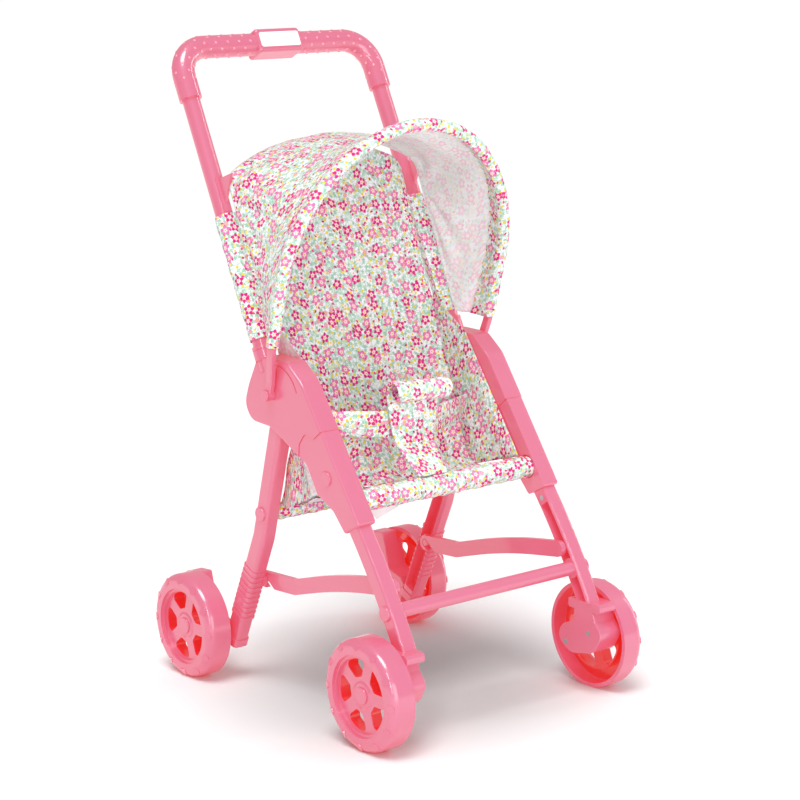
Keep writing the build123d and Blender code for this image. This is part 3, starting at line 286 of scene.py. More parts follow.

# The grip: one U of plastic pushed over both tubes, with a block for the plate in the middle of its bar. Low round
# pimples in staggered rows are moulded on the bar and shoulders, painted a paler pink as a painted highlight.
hinge = joint_at("canopy_tilt")
tube_lean, tube_setback, tube_half = np.radians(25.0), 0.0045, 0.1006
grip_reach, grip_leg, grip_bend, grip_radius, block_half = 0.309, 0.047, 0.027, 0.0098, 0.0235
bend_steps, handle_steps = 24, 560
pimple_pitch, pimple_rows, pimple_radius, pimple_rise = 0.0118, 10, 0.0012, 0.0005
collar_length, block_margin, bar_margin = 0.013, 0.003, 0.004
# The pimples' paler pink is a painted highlight.
tip_pale, tip_deeper, tip_rough = (0.48, 0.29, 0.37), (0.45, 0.26, 0.34), 0.22


def unit(vectors):
    return vectors / np.linalg.norm(vectors, axis=-1, keepdims=True)


def run_length(line):
    """The distance run along each line of points, from its start."""
    steps = np.linalg.norm(np.diff(line, axis=-2), axis=-1)
    return np.concatenate([np.zeros((*steps.shape[:-1], 1)), np.cumsum(steps, -1)], -1)


def evenly(line, count):
    """A line of points laid out again at equal steps along itself."""
    run = run_length(line)
    at = np.linspace(0, run[-1], count)
    return np.stack([np.interp(at, run, line[:, axis]) for axis in range(line.shape[1])], -1)


def leaning(x, up, lean, setback=0.0):
    """Points at x across and at a distance up a plane that leans back from the hinge line, set back along the floor."""
    return np.stack([x + 0 * up, hinge[1] + setback + up * np.sin(lean), hinge[2] + up * np.cos(lean)], -1)


def handle_line(count):
    """Up one leg of the handle, round a quarter circle, along the bar and down the other leg, at equal steps."""
    turn = np.linspace(0, np.pi / 2, bend_steps)
    corner = np.stack([tube_half - grip_bend + grip_bend * np.cos(turn),
                       grip_reach - grip_bend + grip_bend * np.sin(turn)], -1)
    half = np.concatenate([[[tube_half, grip_reach - grip_leg]], corner])
    return evenly(np.concatenate([half, half[::-1] * (-1, 1)]), count)


def domes(name, spots, outward, forward, radius, rise, material):
    """Low round domes on a skin: rings that close in as a cosine while they rise as a sine, and a tip on each."""
    count, levels, corners, sunk = len(spots), 5, 12, 0.25
    turn = np.linspace(0, 2 * np.pi, corners, endpoint=False)[None, None, :, None]
    climb = np.linspace(-sunk, np.pi / 2, levels + 1)[:-1][None, :, None, None]
    out, ahead = outward[:, None, None], forward[:, None, None]
    ring = np.cos(turn) * ahead + np.sin(turn) * np.cross(out, ahead)
    shells = spots[:, None, None] + radius * np.cos(climb) * ring + rise * np.sin(climb) * out
    number = np.arange(count * levels * corners).reshape(count, levels, corners)
    near, far = number[:, :-1], number[:, 1:]
    walls = np.stack([near, np.roll(near, -1, 2), np.roll(far, -1, 2), far], -1).reshape(-1, 4)
    tips = np.broadcast_to(number.size + np.arange(count)[:, None], (count, corners))
    crowns = np.stack([number[:, -1], np.roll(number[:, -1], -1, 1), tips], -1).reshape(-1, 3)
    points = np.concatenate([shells.reshape(-1, 3), spots + rise * outward])
    mesh = bpy.data.meshes.new(name)
    mesh.from_pydata(points.tolist(), [], walls.tolist() + crowns.tolist())
    mesh.polygons.foreach_set("use_smooth", np.ones(len(mesh.polygons), bool))
    mesh.materials.append(material)
    piece = bpy.data.objects.new(name, mesh)
    scene.collection.objects.link(piece)
    return piece


line = handle_line(handle_steps)
path = leaning(line[:, 0], line[:, 1], tube_lean, tube_setback)
along = unit(np.gradient(path, axis=0))
facing = np.array([0, -np.cos(tube_lean), np.sin(tube_lean)])
run = run_length(path)
steps = np.arange(collar_length, run[-1] - collar_length, pimple_pitch / 2)
grid = np.meshgrid(np.arange(len(steps)), np.arange(pimple_rows), indexing="ij")
number, row = [spread.ravel() for spread in grid]
kept = (number + row) % 2 == 0
at = np.interp(steps[number[kept]], run, np.arange(len(run))).round().astype(int)
clear = (np.abs(path[at, 0]) > block_half + block_margin) | (line[at, 1] < grip_reach - bar_margin)
at, angle = at[clear], 2 * np.pi * row[kept][clear] / pimple_rows
outward = np.cos(angle)[:, None] * facing + np.sin(angle)[:, None] * unit(np.cross(facing, along[at]))
# The pimples get a paler pink plastic: a painted highlight.
highlit_pimples = moulded_plastic("highlit_pimples", tip_pale, tip_deeper, tip_rough)
pimples = domes("grip_pimples", path[at] + grip_radius * outward, outward, along[at], pimple_radius, pimple_rise,
                highlit_pimples)
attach(pimples, "frame")

# The print: white cotton with a scattered meadow of small flowers, leaves and dots in pinks, mint and yellow.
# The colours show fully on the right side and faintly through the back of the cloth. Motif sizes are in millimetres.
cotton_white, cotton_greyer = (0.87, 0.885, 0.91, 1), (0.83, 0.845, 0.87, 1)
thread_pitch, weave_height, crease_height, show_through = 0.0006, 0.25, 2.2, 0.33
leaf_kinds = (  # cell, shift, length, width, green
    (5.6, 3.1, 2.7, 0.95, (0.42, 0.67, 0.52, 1)),
    (6.6, 7.9, 3.1, 1.0, (0.60, 0.77, 0.67, 1)),
    (4.6, 14.2, 1.9, 0.8, (0.33, 0.56, 0.43, 1)),
)
stem_kinds, stem_half, stem_green = ((5.2, 2.2), (7.4, 6.3)), 0.13, (0.34, 0.46, 0.40, 1)
dot_straw, dot_mustard = (0.80, 0.70, 0.22, 1), (0.76, 0.62, 0.05, 1)
small_pink, small_pale, small_heart = (0.80, 0.26, 0.50, 1), (0.93, 0.78, 0.85, 1), (0.76, 0.55, 0.05, 1)
bud_dark, bud_red = (0.58, 0.012, 0.17, 1), (0.78, 0.05, 0.26, 1)
petal_pink, petal_red, petal_outline = (0.82, 0.18, 0.42, 1), (0.70, 0.015, 0.20, 1), (0.42, 0.012, 0.13, 1)
flower_ring, flower_heart, flower_eye = (0.90, 0.52, 0.68, 1), (0.92, 0.86, 0.62, 1), (0.55, 0.30, 0.06, 1)


def scattered(place, cell, shift, loose):
    """One motif in each cell of a jittered net: the way from its middle in millimetres, and three random numbers."""
    spot = place.node("ShaderNodeVectorMath", {0: place, "Scale": 1000.0 / cell}, operation="SCALE")
    spot = spot.node("ShaderNodeVectorMath", {0: spot, 1: (shift, 1.7 * shift, 0.0)}, operation="ADD")
    net = spot.node("ShaderNodeTexVoronoi", {"Vector": spot, "Scale": 1.0, "Randomness": loose}, out="Distance",
                    voronoi_dimensions="2D", feature="F1")
    way = net.node("ShaderNodeVectorMath", {0: spot, 1: net.other("Position")}, operation="SUBTRACT")
    split = way.node("ShaderNodeSeparateXYZ", {0: way}, out="X")
    luck = net.node("ShaderNodeSeparateColor", {0: net.other("Color")}, out="Red")
    return split * cell, split.other("Y") * cell, luck, luck.other("Green"), luck.other("Blue")


def blossom(x, y, turn, petals, size, notch=0.2):
    """How far inside a flower's edge a point is, and how far out: the edge swings in and out once for each petal."""
    reach = (x * x + y * y) ** 0.5
    angle = x.math("ARCTAN2", y, x) + turn * 6.283
    edge = size * (1.0 - notch + notch * x.math("COSINE", angle * petals))
    return edge - reach, reach


def leaf(x, y, turn, long, wide):
    """How far inside a pointed leaf a point is: its half width falls with the square of the distance along it."""
    angle = turn * 6.283
    cosine, sine = x.math("COSINE", angle), x.math("SINE", angle)
    u, v = x * cosine + y * sine, y * cosine - x * sine
    return wide * (1.0 - (u / long) ** 2) - v.absolute()


def meadow(place, ground):
    """The print over its ground, as a colour: leaves, stems, dots, small flowers, buds, and large flowers on top."""
    cloth = ground
    for cell, shift, long, wide, green in leaf_kinds:
        x, y, luck, turn, _ = scattered(place, cell, shift, loose=0.9)
        for side in (0.0, 0.19):
            cloth = (edge_of(leaf(x, y, turn + side, long, wide)) * luck.above(0.30)).between(cloth, green)
    for cell, drift in stem_kinds:
        spot = place.node("ShaderNodeVectorMath", {0: place, 1: (1000.0 / cell,) * 3, 2: (drift,) * 3},
                          operation="MULTIPLY_ADD")
        stem = spot.node("ShaderNodeTexVoronoi", {"Vector": spot, "Scale": 1.0}, out="Distance",
                         voronoi_dimensions="2D", feature="DISTANCE_TO_EDGE")
        cloth = edge_of(stem_half - stem * cell, blur=0.1).between(cloth, stem_green)
    x, y, luck, turn, pick = scattered(place, cell=6.1, shift=8.7, loose=1.0)
    dot = edge_of(leaf(x, y, turn, long=1.6, wide=1.25)) * luck.above(0.25)
    cloth = dot.between(cloth, pick.above(0.3).between(dot_straw, dot_mustard))
    x, y, luck, turn, pick = scattered(place, cell=7.8, shift=5.3, loose=0.85)
    inside, reach = blossom(x, y, turn, petals=6.0, size=2.5)
    here = luck.above(0.58)
    cloth = (edge_of(inside) * here).between(cloth, pick.above(0.55).between(small_pink, small_pale))
    cloth = (edge_of(0.9 - reach) * here).between(cloth, small_heart)
    x, y, luck, turn, pick = scattered(place, cell=5.4, shift=11.9, loose=1.0)
    bud = edge_of(leaf(x, y, turn, long=1.7, wide=0.95)) * luck.above(0.60)
    cloth = bud.between(cloth, pick.above(0.4).between(bud_dark, bud_red))
    x, y, luck, turn, pick = scattered(place, cell=12.0, shift=1.3, loose=0.7)
    inside, reach = blossom(x, y, turn, petals=5.0, size=4.4)
    ring, _ = blossom(x, y, turn + 0.1, petals=5.0, size=2.4)
    petal = pick.above(0.55).between(petal_pink, petal_red)
    here = luck.above(0.28)
    for depth, colour in ((inside + 0.35, petal_outline), (inside, petal), (ring, flower_ring),
                          (1.2 - reach, flower_heart), (0.6 - reach, flower_eye)):
        cloth = (edge_of(depth) * here).between(cloth, colour)
    return cloth


def cotton(name, strength):
    """Printed plain-weave cotton: the print, mixed towards white on the back, over crossing threads."""
    material, shader, place = finish_of(name)
    cut = place.node("ShaderNodeUVMap", {}, uv_map="cut")
    ground = noise(cut, scale=90.0).between(cotton_white, cotton_greyer)
    print_colour = meadow(cut, ground)
    if strength < 1:
        print_colour = print_colour.node("ShaderNodeMix", {0: strength, 6: cotton_white, 7: print_colour}, out=2,
                                         data_type="RGBA")
    feed(print_colour, shader.inputs["Base Color"])
    warp = cut.node("ShaderNodeSeparateXYZ", {0: cut}, out="X")
    thread = 2 * np.pi / thread_pitch
    weave = warp.math("SINE", warp * thread) * warp.math("SINE", warp.other("Y") * thread)
    height = weave * weave_height + noise(cut, scale=55.0, detail=3.0) * crease_height
    feed(bump(height, strength=0.35, distance=0.0006), shader.inputs["Normal"])
    feed(noise(cut, scale=300.0) * 0.1 + 0.82, shader.inputs["Roughness"])
    shader.inputs["Sheen Weight"].default_value = 0.12
    shader.inputs["Specular IOR Level"].default_value = 0.2
    return material


floral_print = cotton("floral_print", 1.0)
floral_back = cotton("floral_back", show_through)

# The seat sling: one length of the print that hangs from the tubes under the canopy, turns at the crease and runs
# forward over the front bar. Its head is cut to a low arch, and use has hollowed it.
crease_at, bar_at = hinge[1:] + (-0.0223, -0.0880), hinge[1:] + (-0.091, -0.0775)
lean_back, seat_half = np.radians(19.3), 0.0856
up_back = np.array([np.sin(lean_back), np.cos(lean_back)])
head_half, head_spring, head_top, head_crown = 0.0859, 0.270, 0.302, 0.180
sling_columns, back_rows, corner_rows, pan_rows, crease_soft = 96, 104, 24, 34, 0.020
back_height, pan_start, pan_length = 0.286, 0.004, 0.062
arc_steps, arch_steps = 60, 240


def surface(name, points, uv, material, under=None, flip=False):
    """A quad mesh over a grid of points, with the grid's uv in metres; flip turns its faces over."""
    rows, columns = points.shape[:2]
    number = np.arange(rows * columns).reshape(rows, columns)
    sides = [(slice(None, -1), slice(None, -1)), (slice(1, None), slice(None, -1)),
             (slice(1, None), slice(1, None)), (slice(None, -1), slice(1, None))]
    sides = sides[::-1] if flip else sides
    quads = np.stack([number[side] for side in sides], -1).reshape(-1, 4)
    mesh = bpy.data.meshes.new(name)
    mesh.from_pydata(points.reshape(-1, 3).tolist(), [], quads.tolist())
    flat = np.stack([uv[side] for side in sides], 2).reshape(-1, 2)
    mesh.uv_layers.new(name="cut").data.foreach_set("uv", flat.astype(np.float32).ravel())
    mesh.polygons.foreach_set("use_smooth", np.ones(len(quads), bool))
    for skin in (material, under):
        if skin is not None:
            mesh.materials.append(skin)
    mesh.update()
    piece = bpy.data.objects.new(name, mesh)
    scene.collection.objects.link(piece)
    return piece


def as_cloth(piece, thickness=0.0008):
    """Gives a sheet its thickness on the side away from its face, with the sheet's second material there."""
    solid = piece.modifiers.new("thickness", "SOLIDIFY")
    solid.thickness, solid.offset, solid.material_offset, solid.material_offset_rim = thickness, -1.0, 1, 0
    return piece


def cut_uv(points):
    """The flat cut of a sheet: the run across from the middle and the run up from the last row, in metres."""
    across = run_length(points)
    down = run_length(points.swapaxes(0, 1)).swapaxes(0, 1)
    return np.stack([across - across[:, -1:] / 2, down[-1:] - down], -1)


def cut_area(points):
    """The area of a sheet's grid of quads."""
    one, two = points[1:, 1:] - points[:-1, :-1], points[1:, :-1] - points[:-1, 1:]
    return float(np.linalg.norm(np.cross(one, two), axis=-1).sum() / 2)


def cut_size(points):
    """The mean run across a sheet's grid and the mean run down it."""
    return (float(run_length(points)[:, -1].mean()), float(run_length(points.swapaxes(0, 1))[:, -1].mean()))


def swell(x, middle, width):
    """A bell of height one round a middle."""
    return np.exp(-((x - middle) / width) ** 2)


def arch(half_width, foot, spring, top, crown):
    """Up from the left foot, over three tangent arcs and down to the right foot, at equal steps, as (x, up)."""
    rise = top - spring
    radius = (half_width ** 2 + (rise - crown) ** 2 - crown ** 2) / (2 * (half_width - crown))
    middle = half_width - radius
    flip = 1 if radius > crown else -1
    turn = np.arctan2(flip * (rise - crown), -flip * middle)
    side, over = np.linspace(0, turn, arc_steps), np.linspace(turn, np.pi / 2, arc_steps)
    haunch = np.stack([middle + radius * np.cos(side), spring + radius * np.sin(side)], -1)
    cap = np.stack([crown * np.cos(over), top - crown + crown * np.sin(over)], -1)
    right = np.concatenate([[[half_width, foot]], haunch, cap])
    return evenly(np.concatenate([right * (-1, 1), right[::-1]]), arch_steps)


def sling_lines(across):
    """Down the back from the arched head, round a soft corner at the crease and on to the front hem, for each x."""
    front = bar_at + (0.003, 0.0094)
    ahead = unit(front - crease_at)
    brim = arch(head_half, 0.0, head_spring, head_top, head_crown)
    head = np.interp(across * seat_half, brim[:, 0], brim[:, 1])
    fall = np.linspace(0, 1, back_rows)[:, None]
    back = crease_at + ((1 - fall) * head + fall * crease_soft)[..., None] * up_back
    turn = np.linspace(0, 1, corner_rows)[1:, None]
    above, before = crease_at + crease_soft * up_back, crease_at + crease_soft * ahead
    corner = (1 - turn) ** 2 * above + 2 * turn * (1 - turn) * crease_at + turn ** 2 * before
    low = np.concatenate([corner, np.linspace(before, front, pan_rows)[1:]])[:, None]
    return np.concatenate([back, np.broadcast_to(low, (len(low), len(across), 2))])


across = np.linspace(-1, 1, sling_columns)
profile = sling_lines(across)
slope = unit(np.gradient(profile[:, sling_columns // 2], axis=0))
outward = np.stack([-slope[:, 1], slope[:, 0]], -1)[:, None]
on_pan = (np.arange(len(profile)) >= back_rows)[:, None]
raised = np.clip((profile[..., 1] - crease_at[1]) / back_height, 0, 1)
ahead = np.clip((crease_at[0] - pan_start - profile[..., 0]) / pan_length, 0, 1) * on_pan
back_hollow = 0.0060 * np.sin(np.pi * np.clip(raised * 1.25, 0, 1)) * (1 - across ** 2)
pan_hollow = 0.0050 * np.sin(np.pi * ahead) * (1 - across ** 4)
slack = 0.0012 * np.sin(9.0 * across + 9 * raised) * swell(raised, 0.16, 0.2) * (1 - across ** 6)
side_pleat = 0.0015 * swell(across, 0.80, 0.05) * swell(raised, 0.35, 0.25)
crease_folds = 0.0009 * np.sin(21 * across - 17 * raised) * swell(raised, 0.06, 0.09)
sink = back_hollow + pan_hollow + slack + side_pleat + crease_folds
sling_x = np.broadcast_to((across * seat_half)[:, None], (*profile.shape[:2], 1))
sling = np.concatenate([sling_x, profile + sink[..., None] * outward], -1)
seat_sling = as_cloth(surface("seat_sling", sling, cut_uv(sling), floral_print, floral_back))
cut_size(sling)
cut_area(sling)
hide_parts("seat_back", "seat_pan")
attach(seat_sling, "frame")

# The side wings: a three-cornered gusset of the print on each side, sewn to the sling behind and below, with a loose
# front edge that runs down to the hem.
sides = (("left", -1), ("right", 1))
wing_height, wing_rows, wing_columns = 0.155, 60, 36
wing_top = crease_at + wing_height * up_back
wing_front = evenly(np.array([bar_at + (0.0085, 0.0080), hinge[1:] + (-0.076, -0.059), hinge[1:] + (-0.053, -0.0255),
                              hinge[1:] + (-0.014, 0.0315), wing_top]), wing_rows)
wing_rear = np.linspace(crease_at + 0.002 * up_back, wing_top, wing_rows) + (0.0012, -0.0004)
share = np.linspace(0, 1, wing_columns)[None, :]
rise = np.linspace(0, 1, wing_rows)[:, None]
flat_wing = (1 - share[..., None]) * wing_rear[:, None] + share[..., None] * wing_front[:, None]
belly = 0.0022 * np.sin(np.pi * share) * np.sin(np.pi * np.clip(rise * 1.2, 0, 1))
bulge = belly + 0.0013 * np.sin(7 * share + 4 * rise) * np.sin(np.pi * share)
for side, hand in sides:
    wing_x = hand * (seat_half - 0.0004 + 0.0018 * share - bulge * (1 - rise))
    wing = np.stack(np.broadcast_arrays(wing_x, flat_wing[..., 0], flat_wing[..., 1]), -1)
    piece = as_cloth(surface(f"seat_gusset_{side}", wing, cut_uv(wing), floral_print, floral_back, flip=hand > 0))
    cut_area(wing)
    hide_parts(f"seat_wing_{side}")
    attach(piece, "frame")

# The seat hems: the cloth's front and rear ends are turned over the seat bars and stitched, so each is a soft
# sleeve with puckers along its seam; the rear one goes with the folding legs.
front_half, front_radius, front_pucker = 0.0942, 0.0091, 0.00045
rear_half, rear_radius, rear_pucker = 0.0900, 0.0074, 0.0004
hem_columns, hem_turns, seam_lap, end_length, end_reach = 120, 41, 0.0005, 0.004, 0.0042


def hem_round(at, half, radius, pucker):
    """A sheet rolled once round a bar along x, its seam lapped; it swells between puckers and draws in at the ends."""
    x = np.linspace(-half, half, hem_columns)[:, None]
    turn = np.linspace(-1.7, 2 * np.pi - 1.5, hem_turns)[None, :]
    close = np.sqrt(np.clip(1 - ((np.abs(x) - (half - end_length)) / end_reach).clip(0, 1) ** 2, 0.12, 1))
    wave = np.sin(x * 310 + 1.7 * np.sin(x * 83)) * np.cos(turn - 2.1) + 0.6 * np.sin(x * 521 + 2 * turn)
    girth = (radius + pucker * wave + seam_lap * np.clip(turn - 2 * np.pi + 2.2, 0, 1)) * close
    points = np.stack(np.broadcast_arrays(x, at[0] + girth * np.cos(turn), at[1] + girth * np.sin(turn)), -1)
    return points, np.stack(np.broadcast_arrays(x, turn * radius), -1)


points, uv = hem_round(bar_at, front_half, front_radius, front_pucker)
front_roll = surface("front_roll", points, uv, floral_print, flip=True)
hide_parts("front_hem")
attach(front_roll, "frame")
low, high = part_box("rear_seat_bar")
rear_at = np.array([(low[1] + high[1]) / 2, (low[2] + high[2]) / 2])
points, uv = hem_round(rear_at, rear_half, rear_radius, rear_pucker)
rear_roll = surface("rear_roll", points, uv + (0.3, 0.1), floral_print, flip=True)
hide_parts("rear_hem")
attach(rear_roll, "rear_legs")

# The seat's tail: the strip of the print from the crease down to the rear hem, sewn at both ends, which sags a
# little.
tail_rows, tail_columns, tail_half, tail_taper, tail_sag, tail_ripple = 30, 60, 0.084, 0.003, 0.004, 0.0008
tail_from, tail_to = crease_at + (0.003, -0.0008), rear_at + (-0.002, 0.0072)
share = np.linspace(0, 1, tail_rows)[:, None]
across = np.linspace(-1, 1, tail_columns)[None, :]
dip = tail_sag * np.sin(np.pi * share) + tail_ripple * np.sin(11 * across + 3 * share) * np.sin(np.pi * share)
tail = np.stack(np.broadcast_arrays(across * (tail_half - tail_taper * share),
                                    (1 - share) * tail_from[0] + share * tail_to[0] + 0 * across,
                                    (1 - share) * tail_from[1] + share * tail_to[1] - dip), -1)
seat_strip = as_cloth(surface("seat_strip", tail, cut_uv(tail) + (0.1, 0.4), floral_print, floral_back, flip=True))
cut_size(tail)
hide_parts("seat_tail")
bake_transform(seat_strip)

# The tail's gussets: a triangle of the print on each side closes the gap between the back and the tail, with the pale
# back of the cloth outwards.
gusset_rows, gusset_columns, gusset_half, gusset_taper, gusset_slack = 26, 24, 0.0850, 0.0012, 0.0016
share = np.linspace(0, 1, gusset_columns)[None, :]
phase = np.linspace(0, 2.2, gusset_rows)[:, None]
back_edge = np.linspace(crease_at + 0.001 * up_back, crease_at + 0.060 * up_back, gusset_rows) + (0.0022, -0.0008)
bar_edge = np.linspace(rear_at + (-0.0075, 0.0020), rear_at + (-0.0015, 0.0074), gusset_rows)
fan = (1 - share[..., None]) * back_edge[:, None] + share[..., None] * bar_edge[:, None]
slack = gusset_slack * np.sin(np.pi * share) * np.sin(6 * share + phase)
for side, hand in sides:
    points = np.concatenate([(hand * (gusset_half - gusset_taper * share - slack))[..., None], fan], -1)
    piece = as_cloth(surface(f"tail_gusset_{side}", points, cut_uv(points) + (0.3, 0.7), floral_back, floral_print,
                             flip=hand < 0))
    cut_area(points)
    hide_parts("seat_tail")
    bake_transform(piece)

# The tube sleeves: the sling's upper sides are sewn into sleeves of the print that slip over the handle tubes, each
# drawn out inwards to its seam.
sleeve_from, sleeve_to, sleeve_radius, sleeve_tail, seam_thin = 0.0465, 0.1565, 0.0089, 0.0125, 0.25
sleeve_rows, sleeve_turns, sleeve_wave = 70, 41, 0.035


def teardrop(count, nose, tail, thin):
    """A closed section round a rod: a half circle in front that draws out behind to a thin sewn edge."""
    turn = np.linspace(0, 2 * np.pi, count)
    behind = np.clip(np.cos(turn), 0, None)
    return nose * np.cos(turn) + (tail - nose) * behind ** 3, nose * np.sin(turn) * (1 - (1 - thin) * behind ** 3)


up = np.linspace(sleeve_from, sleeve_to, sleeve_rows)
t, n = teardrop(sleeve_turns, sleeve_radius, sleeve_tail, seam_thin)
round_it = run_length(np.stack([t, n], -1))
wave = 1 + sleeve_wave * np.sin(up * 330)[:, None] * np.cos(np.linspace(0, 2 * np.pi, sleeve_turns))[None, :]
for side, hand in sides:
    path = leaning(np.full_like(up, hand * tube_half), up, tube_lean, tube_setback)
    inward = unit(np.array([-hand * 0.86, -0.50 * np.cos(tube_lean), 0.50 * np.sin(tube_lean)]))
    normal = unit(np.cross(inward, [0, np.sin(tube_lean), np.cos(tube_lean)]))
    points = path[:, None] + (wave * t)[..., None] * inward + (wave * n)[..., None] * normal
    uv = np.stack(np.broadcast_arrays(round_it[None, :], up[:, None]), -1) + (0.2 * hand, 0.05)
    piece = surface(f"tube_cover_{side}", points, uv, floral_print, flip=hand < 0)
    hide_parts(f"tube_sleeve_{side}")
    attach(piece, "frame")

# The waist belt: a soft band of doubled print, sewn to the wings at its ends, that hangs across the lap behind the
# crotch strap.
belt_columns, belt_rows, belt_half, belt_thick = 80, 22, 0.0112, 0.0016
belt_ripple, belt_belly, belt_tilt = 0.0010, 0.0012, 0.0015
belt_line = evenly(np.array([[-0.0850, -0.0390, 0.2440], [-0.060, -0.0440, 0.2415], [-0.030, -0.0475, 0.2375],
                             [0.000, -0.0490, 0.2350], [0.012, -0.0484, 0.2348], [0.030, -0.0385, 0.2345],
                             [0.058, -0.0222, 0.2330], [0.0850, -0.0065, 0.2310]]), belt_columns)
tall = np.linspace(-1, 1, belt_rows)[None, :]
ripple = belt_ripple * np.sin(run_length(belt_line) * 95)[:, None]
droop = ripple * (1 - tall ** 2) + belt_belly * (1 - tall ** 2)
offset = np.stack(np.broadcast_arrays(0 * tall, -droop - belt_tilt * tall, belt_half * tall + 0 * droop), -1)
belt = belt_line[:, None] + offset
waist_belt = as_cloth(surface("waist_tab", belt, cut_uv(belt) + (0.5, 0.2), floral_print, floral_print), belt_thick)
cut_size(belt)
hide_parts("waist_belt")
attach(waist_belt, "frame")

# The crotch strap: a flared tab of doubled print, sewn into the front hem, that rises in front of the belt and curls
# forward over itself in a loose roll.
strap_face, roll_radius, roll_height, roll_turn, roll_tighten = -0.0512, 0.0090, 0.2655, 5.0, 0.012
strap_rows, roll_rows, strap_columns, strap_thick, strap_height = 120, 60, 30, 0.0015, 0.078
strap_middle, strap_drift, foot_half, flare = -0.013, 0.0040, 0.012, 0.0165
edge_curl, ruffle_depth, strap_skew = 0.0010, 0.0005, 0.0015
curl = np.linspace(0, roll_turn, roll_rows)[:, None]
roll_reach = roll_radius * (1 - roll_tighten * curl)
roll_round = (strap_face - roll_radius, roll_height) + roll_reach * np.concatenate([np.cos(curl), np.sin(curl)], -1)
strap_foot = [bar_at + (-0.001, 0.0096), bar_at + (0.009, 0.0180), (strap_face - 0.004, 0.2200), (strap_face, 0.2300)]
strap_line = evenly(np.concatenate([strap_foot, roll_round]), strap_rows)
rising = np.clip((strap_line[:, 1:] - bar_at[1]) / strap_height, 0, 1)
wide = np.linspace(-1, 1, strap_columns)[None, :]
half = foot_half + flare * rising ** 0.9
ruffle = edge_curl * (wide ** 2) * np.sin(np.pi * rising) + ruffle_depth * np.sin(6 * wide + 9 * rising)
strap = np.stack(np.broadcast_arrays(strap_middle + strap_drift * rising + wide * half, strap_line[:, :1] + ruffle,
                                     strap_line[:, 1:] - strap_skew * wide * rising), -1)
crotch_strap = as_cloth(surface("crotch_tab", strap, cut_uv(strap) + (0.8, 0.6), floral_print, floral_print),
                        strap_thick)
cut_area(strap)
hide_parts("crotch_strap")
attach(crotch_strap, "frame")

# The care tag: a blank slip of thin pale ribbon, caught in the seam under the left end of the front hem, whose lower
# edge hangs askew.
ribbon_greyer, ribbon_pale = (0.74, 0.70, 0.71, 1), (0.82, 0.79, 0.80, 1)
tag_columns, tag_rows, tag_bow = 16, 12, 0.0008
ribbon, ribbon_shader, ribbon_place = finish_of("ribbon")
feed(noise(ribbon_place, scale=500.0).between(ribbon_greyer, ribbon_pale), ribbon_shader.inputs["Base Color"])
feed(noise(ribbon_place, scale=900.0) * 0.1 + 0.6, ribbon_shader.inputs["Roughness"])
low_edge = np.linspace((-0.0720, -0.0795, 0.1700), (-0.0500, -0.0795, 0.1768), tag_columns)
top_edge = np.linspace((-0.0800, -0.0790, 0.1796), (-0.0490, -0.0790, 0.1796), tag_columns)
share = np.linspace(0, 1, tag_rows)[:, None, None]
slip = (1 - share) * top_edge[None] + share * low_edge[None] + tag_bow * np.sin(np.pi * share) * np.array([0, 1, 0])
tag = surface("care_tag", slip, cut_uv(slip), ribbon)
cut_area(slip)
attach(tag, "frame")

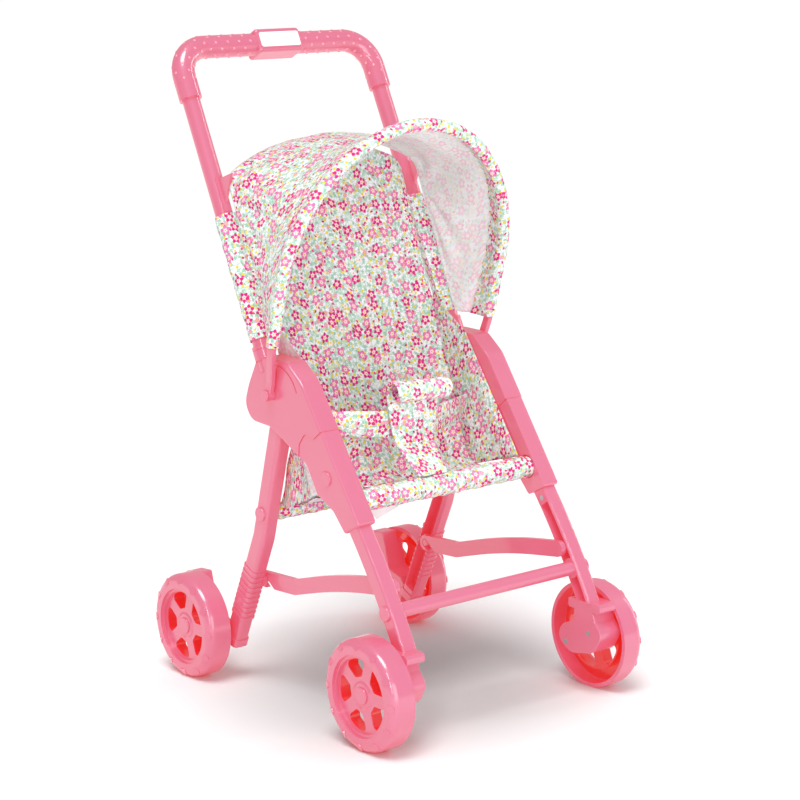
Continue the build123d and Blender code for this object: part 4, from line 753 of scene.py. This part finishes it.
# The canopy: one sheet of the print stretched from the tubes to the sprung bow, held by the clips, where it is drawn
# into soft pulls, and dipping a little behind the bow.
bow_lean, rear_lean, bow_foot, rear_foot = np.radians(-18.0), np.radians(22.0), 0.044, 0.0465
canopy_rows, rear_forward, hem_depth, hem_proud = 90, 0.004, 0.010, 0.0022
clip_places, clip_across, clip_deep, clip_pull = (0.235, 0.765), 0.66, 0.15, 0.0017
front = arch(0.115, bow_foot, 0.100, 0.228, 0.105)
rear = arch(0.1000, rear_foot, 0.178, 0.216, 0.190)
bow_line = leaning(front[:, 0], front[:, 1], bow_lean)
forward = np.array([0, -np.cos(rear_lean), np.sin(rear_lean)])
rear_line = leaning(rear[:, 0], rear[:, 1], rear_lean) + rear_forward * forward
backward = unit(rear_line - bow_line)
proud = unit(np.cross(unit(np.gradient(bow_line, axis=0)), backward))
front_line = bow_line + hem_depth * backward + hem_proud * proud
depth = np.linspace(0, 1, canopy_rows)[:, None]
sweep = np.linspace(0, 1, arch_steps)[None, :]
cover = (1 - depth[..., None]) * rear_line[None] + depth[..., None] * front_line[None]
over_top = swell(sweep, 0.5, 0.17)
sag = -0.0040 * np.sin(np.pi * depth) * np.sin(np.pi * sweep)
lift = sag - 0.0045 * swell(depth, 0.72, 0.12) * over_top + 0.0040 * swell(depth, 0.24, 0.16) * over_top
for clip in clip_places:
    reach = np.hypot((sweep - clip) * clip_across, depth * clip_deep)
    angle = np.arctan2(depth * clip_deep, (sweep - clip) * clip_across)
    lift = lift + clip_pull * np.sin(10 * angle + 0.8) * swell(reach, 0.060, 0.042) * np.clip(depth / 0.05, 0, 1)
lift = lift + 0.0010 * np.sin(41 * sweep + 6 * depth) * np.sin(np.pi * depth)
cover = cover + lift[..., None] * proud[None]
canopy = as_cloth(surface("canopy_sheet", cover, cut_uv(cover) + (0.4, 0.9), floral_print, floral_back))
cut_size(cover)
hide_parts("canopy_cover")
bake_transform(canopy)

# The canopy's hem: its front edge is turned back and stitched to a wide casing that the bow slides through, rippled
# along the seam.
casing_turns, casing_nose, casing_depth, casing_thin, casing_ripple = 37, 0.0053, 0.0165, 0.22, 0.06
t, n = teardrop(casing_turns, casing_nose, casing_depth, casing_thin)
along_bow = np.sin(np.linspace(0, 190, arch_steps))[:, None]
ripple = 1 + casing_ripple * along_bow * np.cos(np.linspace(0, 2 * np.pi, casing_turns))[None, :]
hem = bow_line[:, None] + (ripple * t)[..., None] * backward[:, None] + (ripple * n)[..., None] * proud[:, None]
round_it = run_length(np.stack([t, n], -1))
uv = np.stack(np.broadcast_arrays(round_it[None, :], run_length(bow_line)[:, None]), -1) + (0.7, 0.3)
canopy_edge = surface("canopy_edge", hem, uv, floral_print)
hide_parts("canopy_hem")
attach(canopy_edge, "canopy")
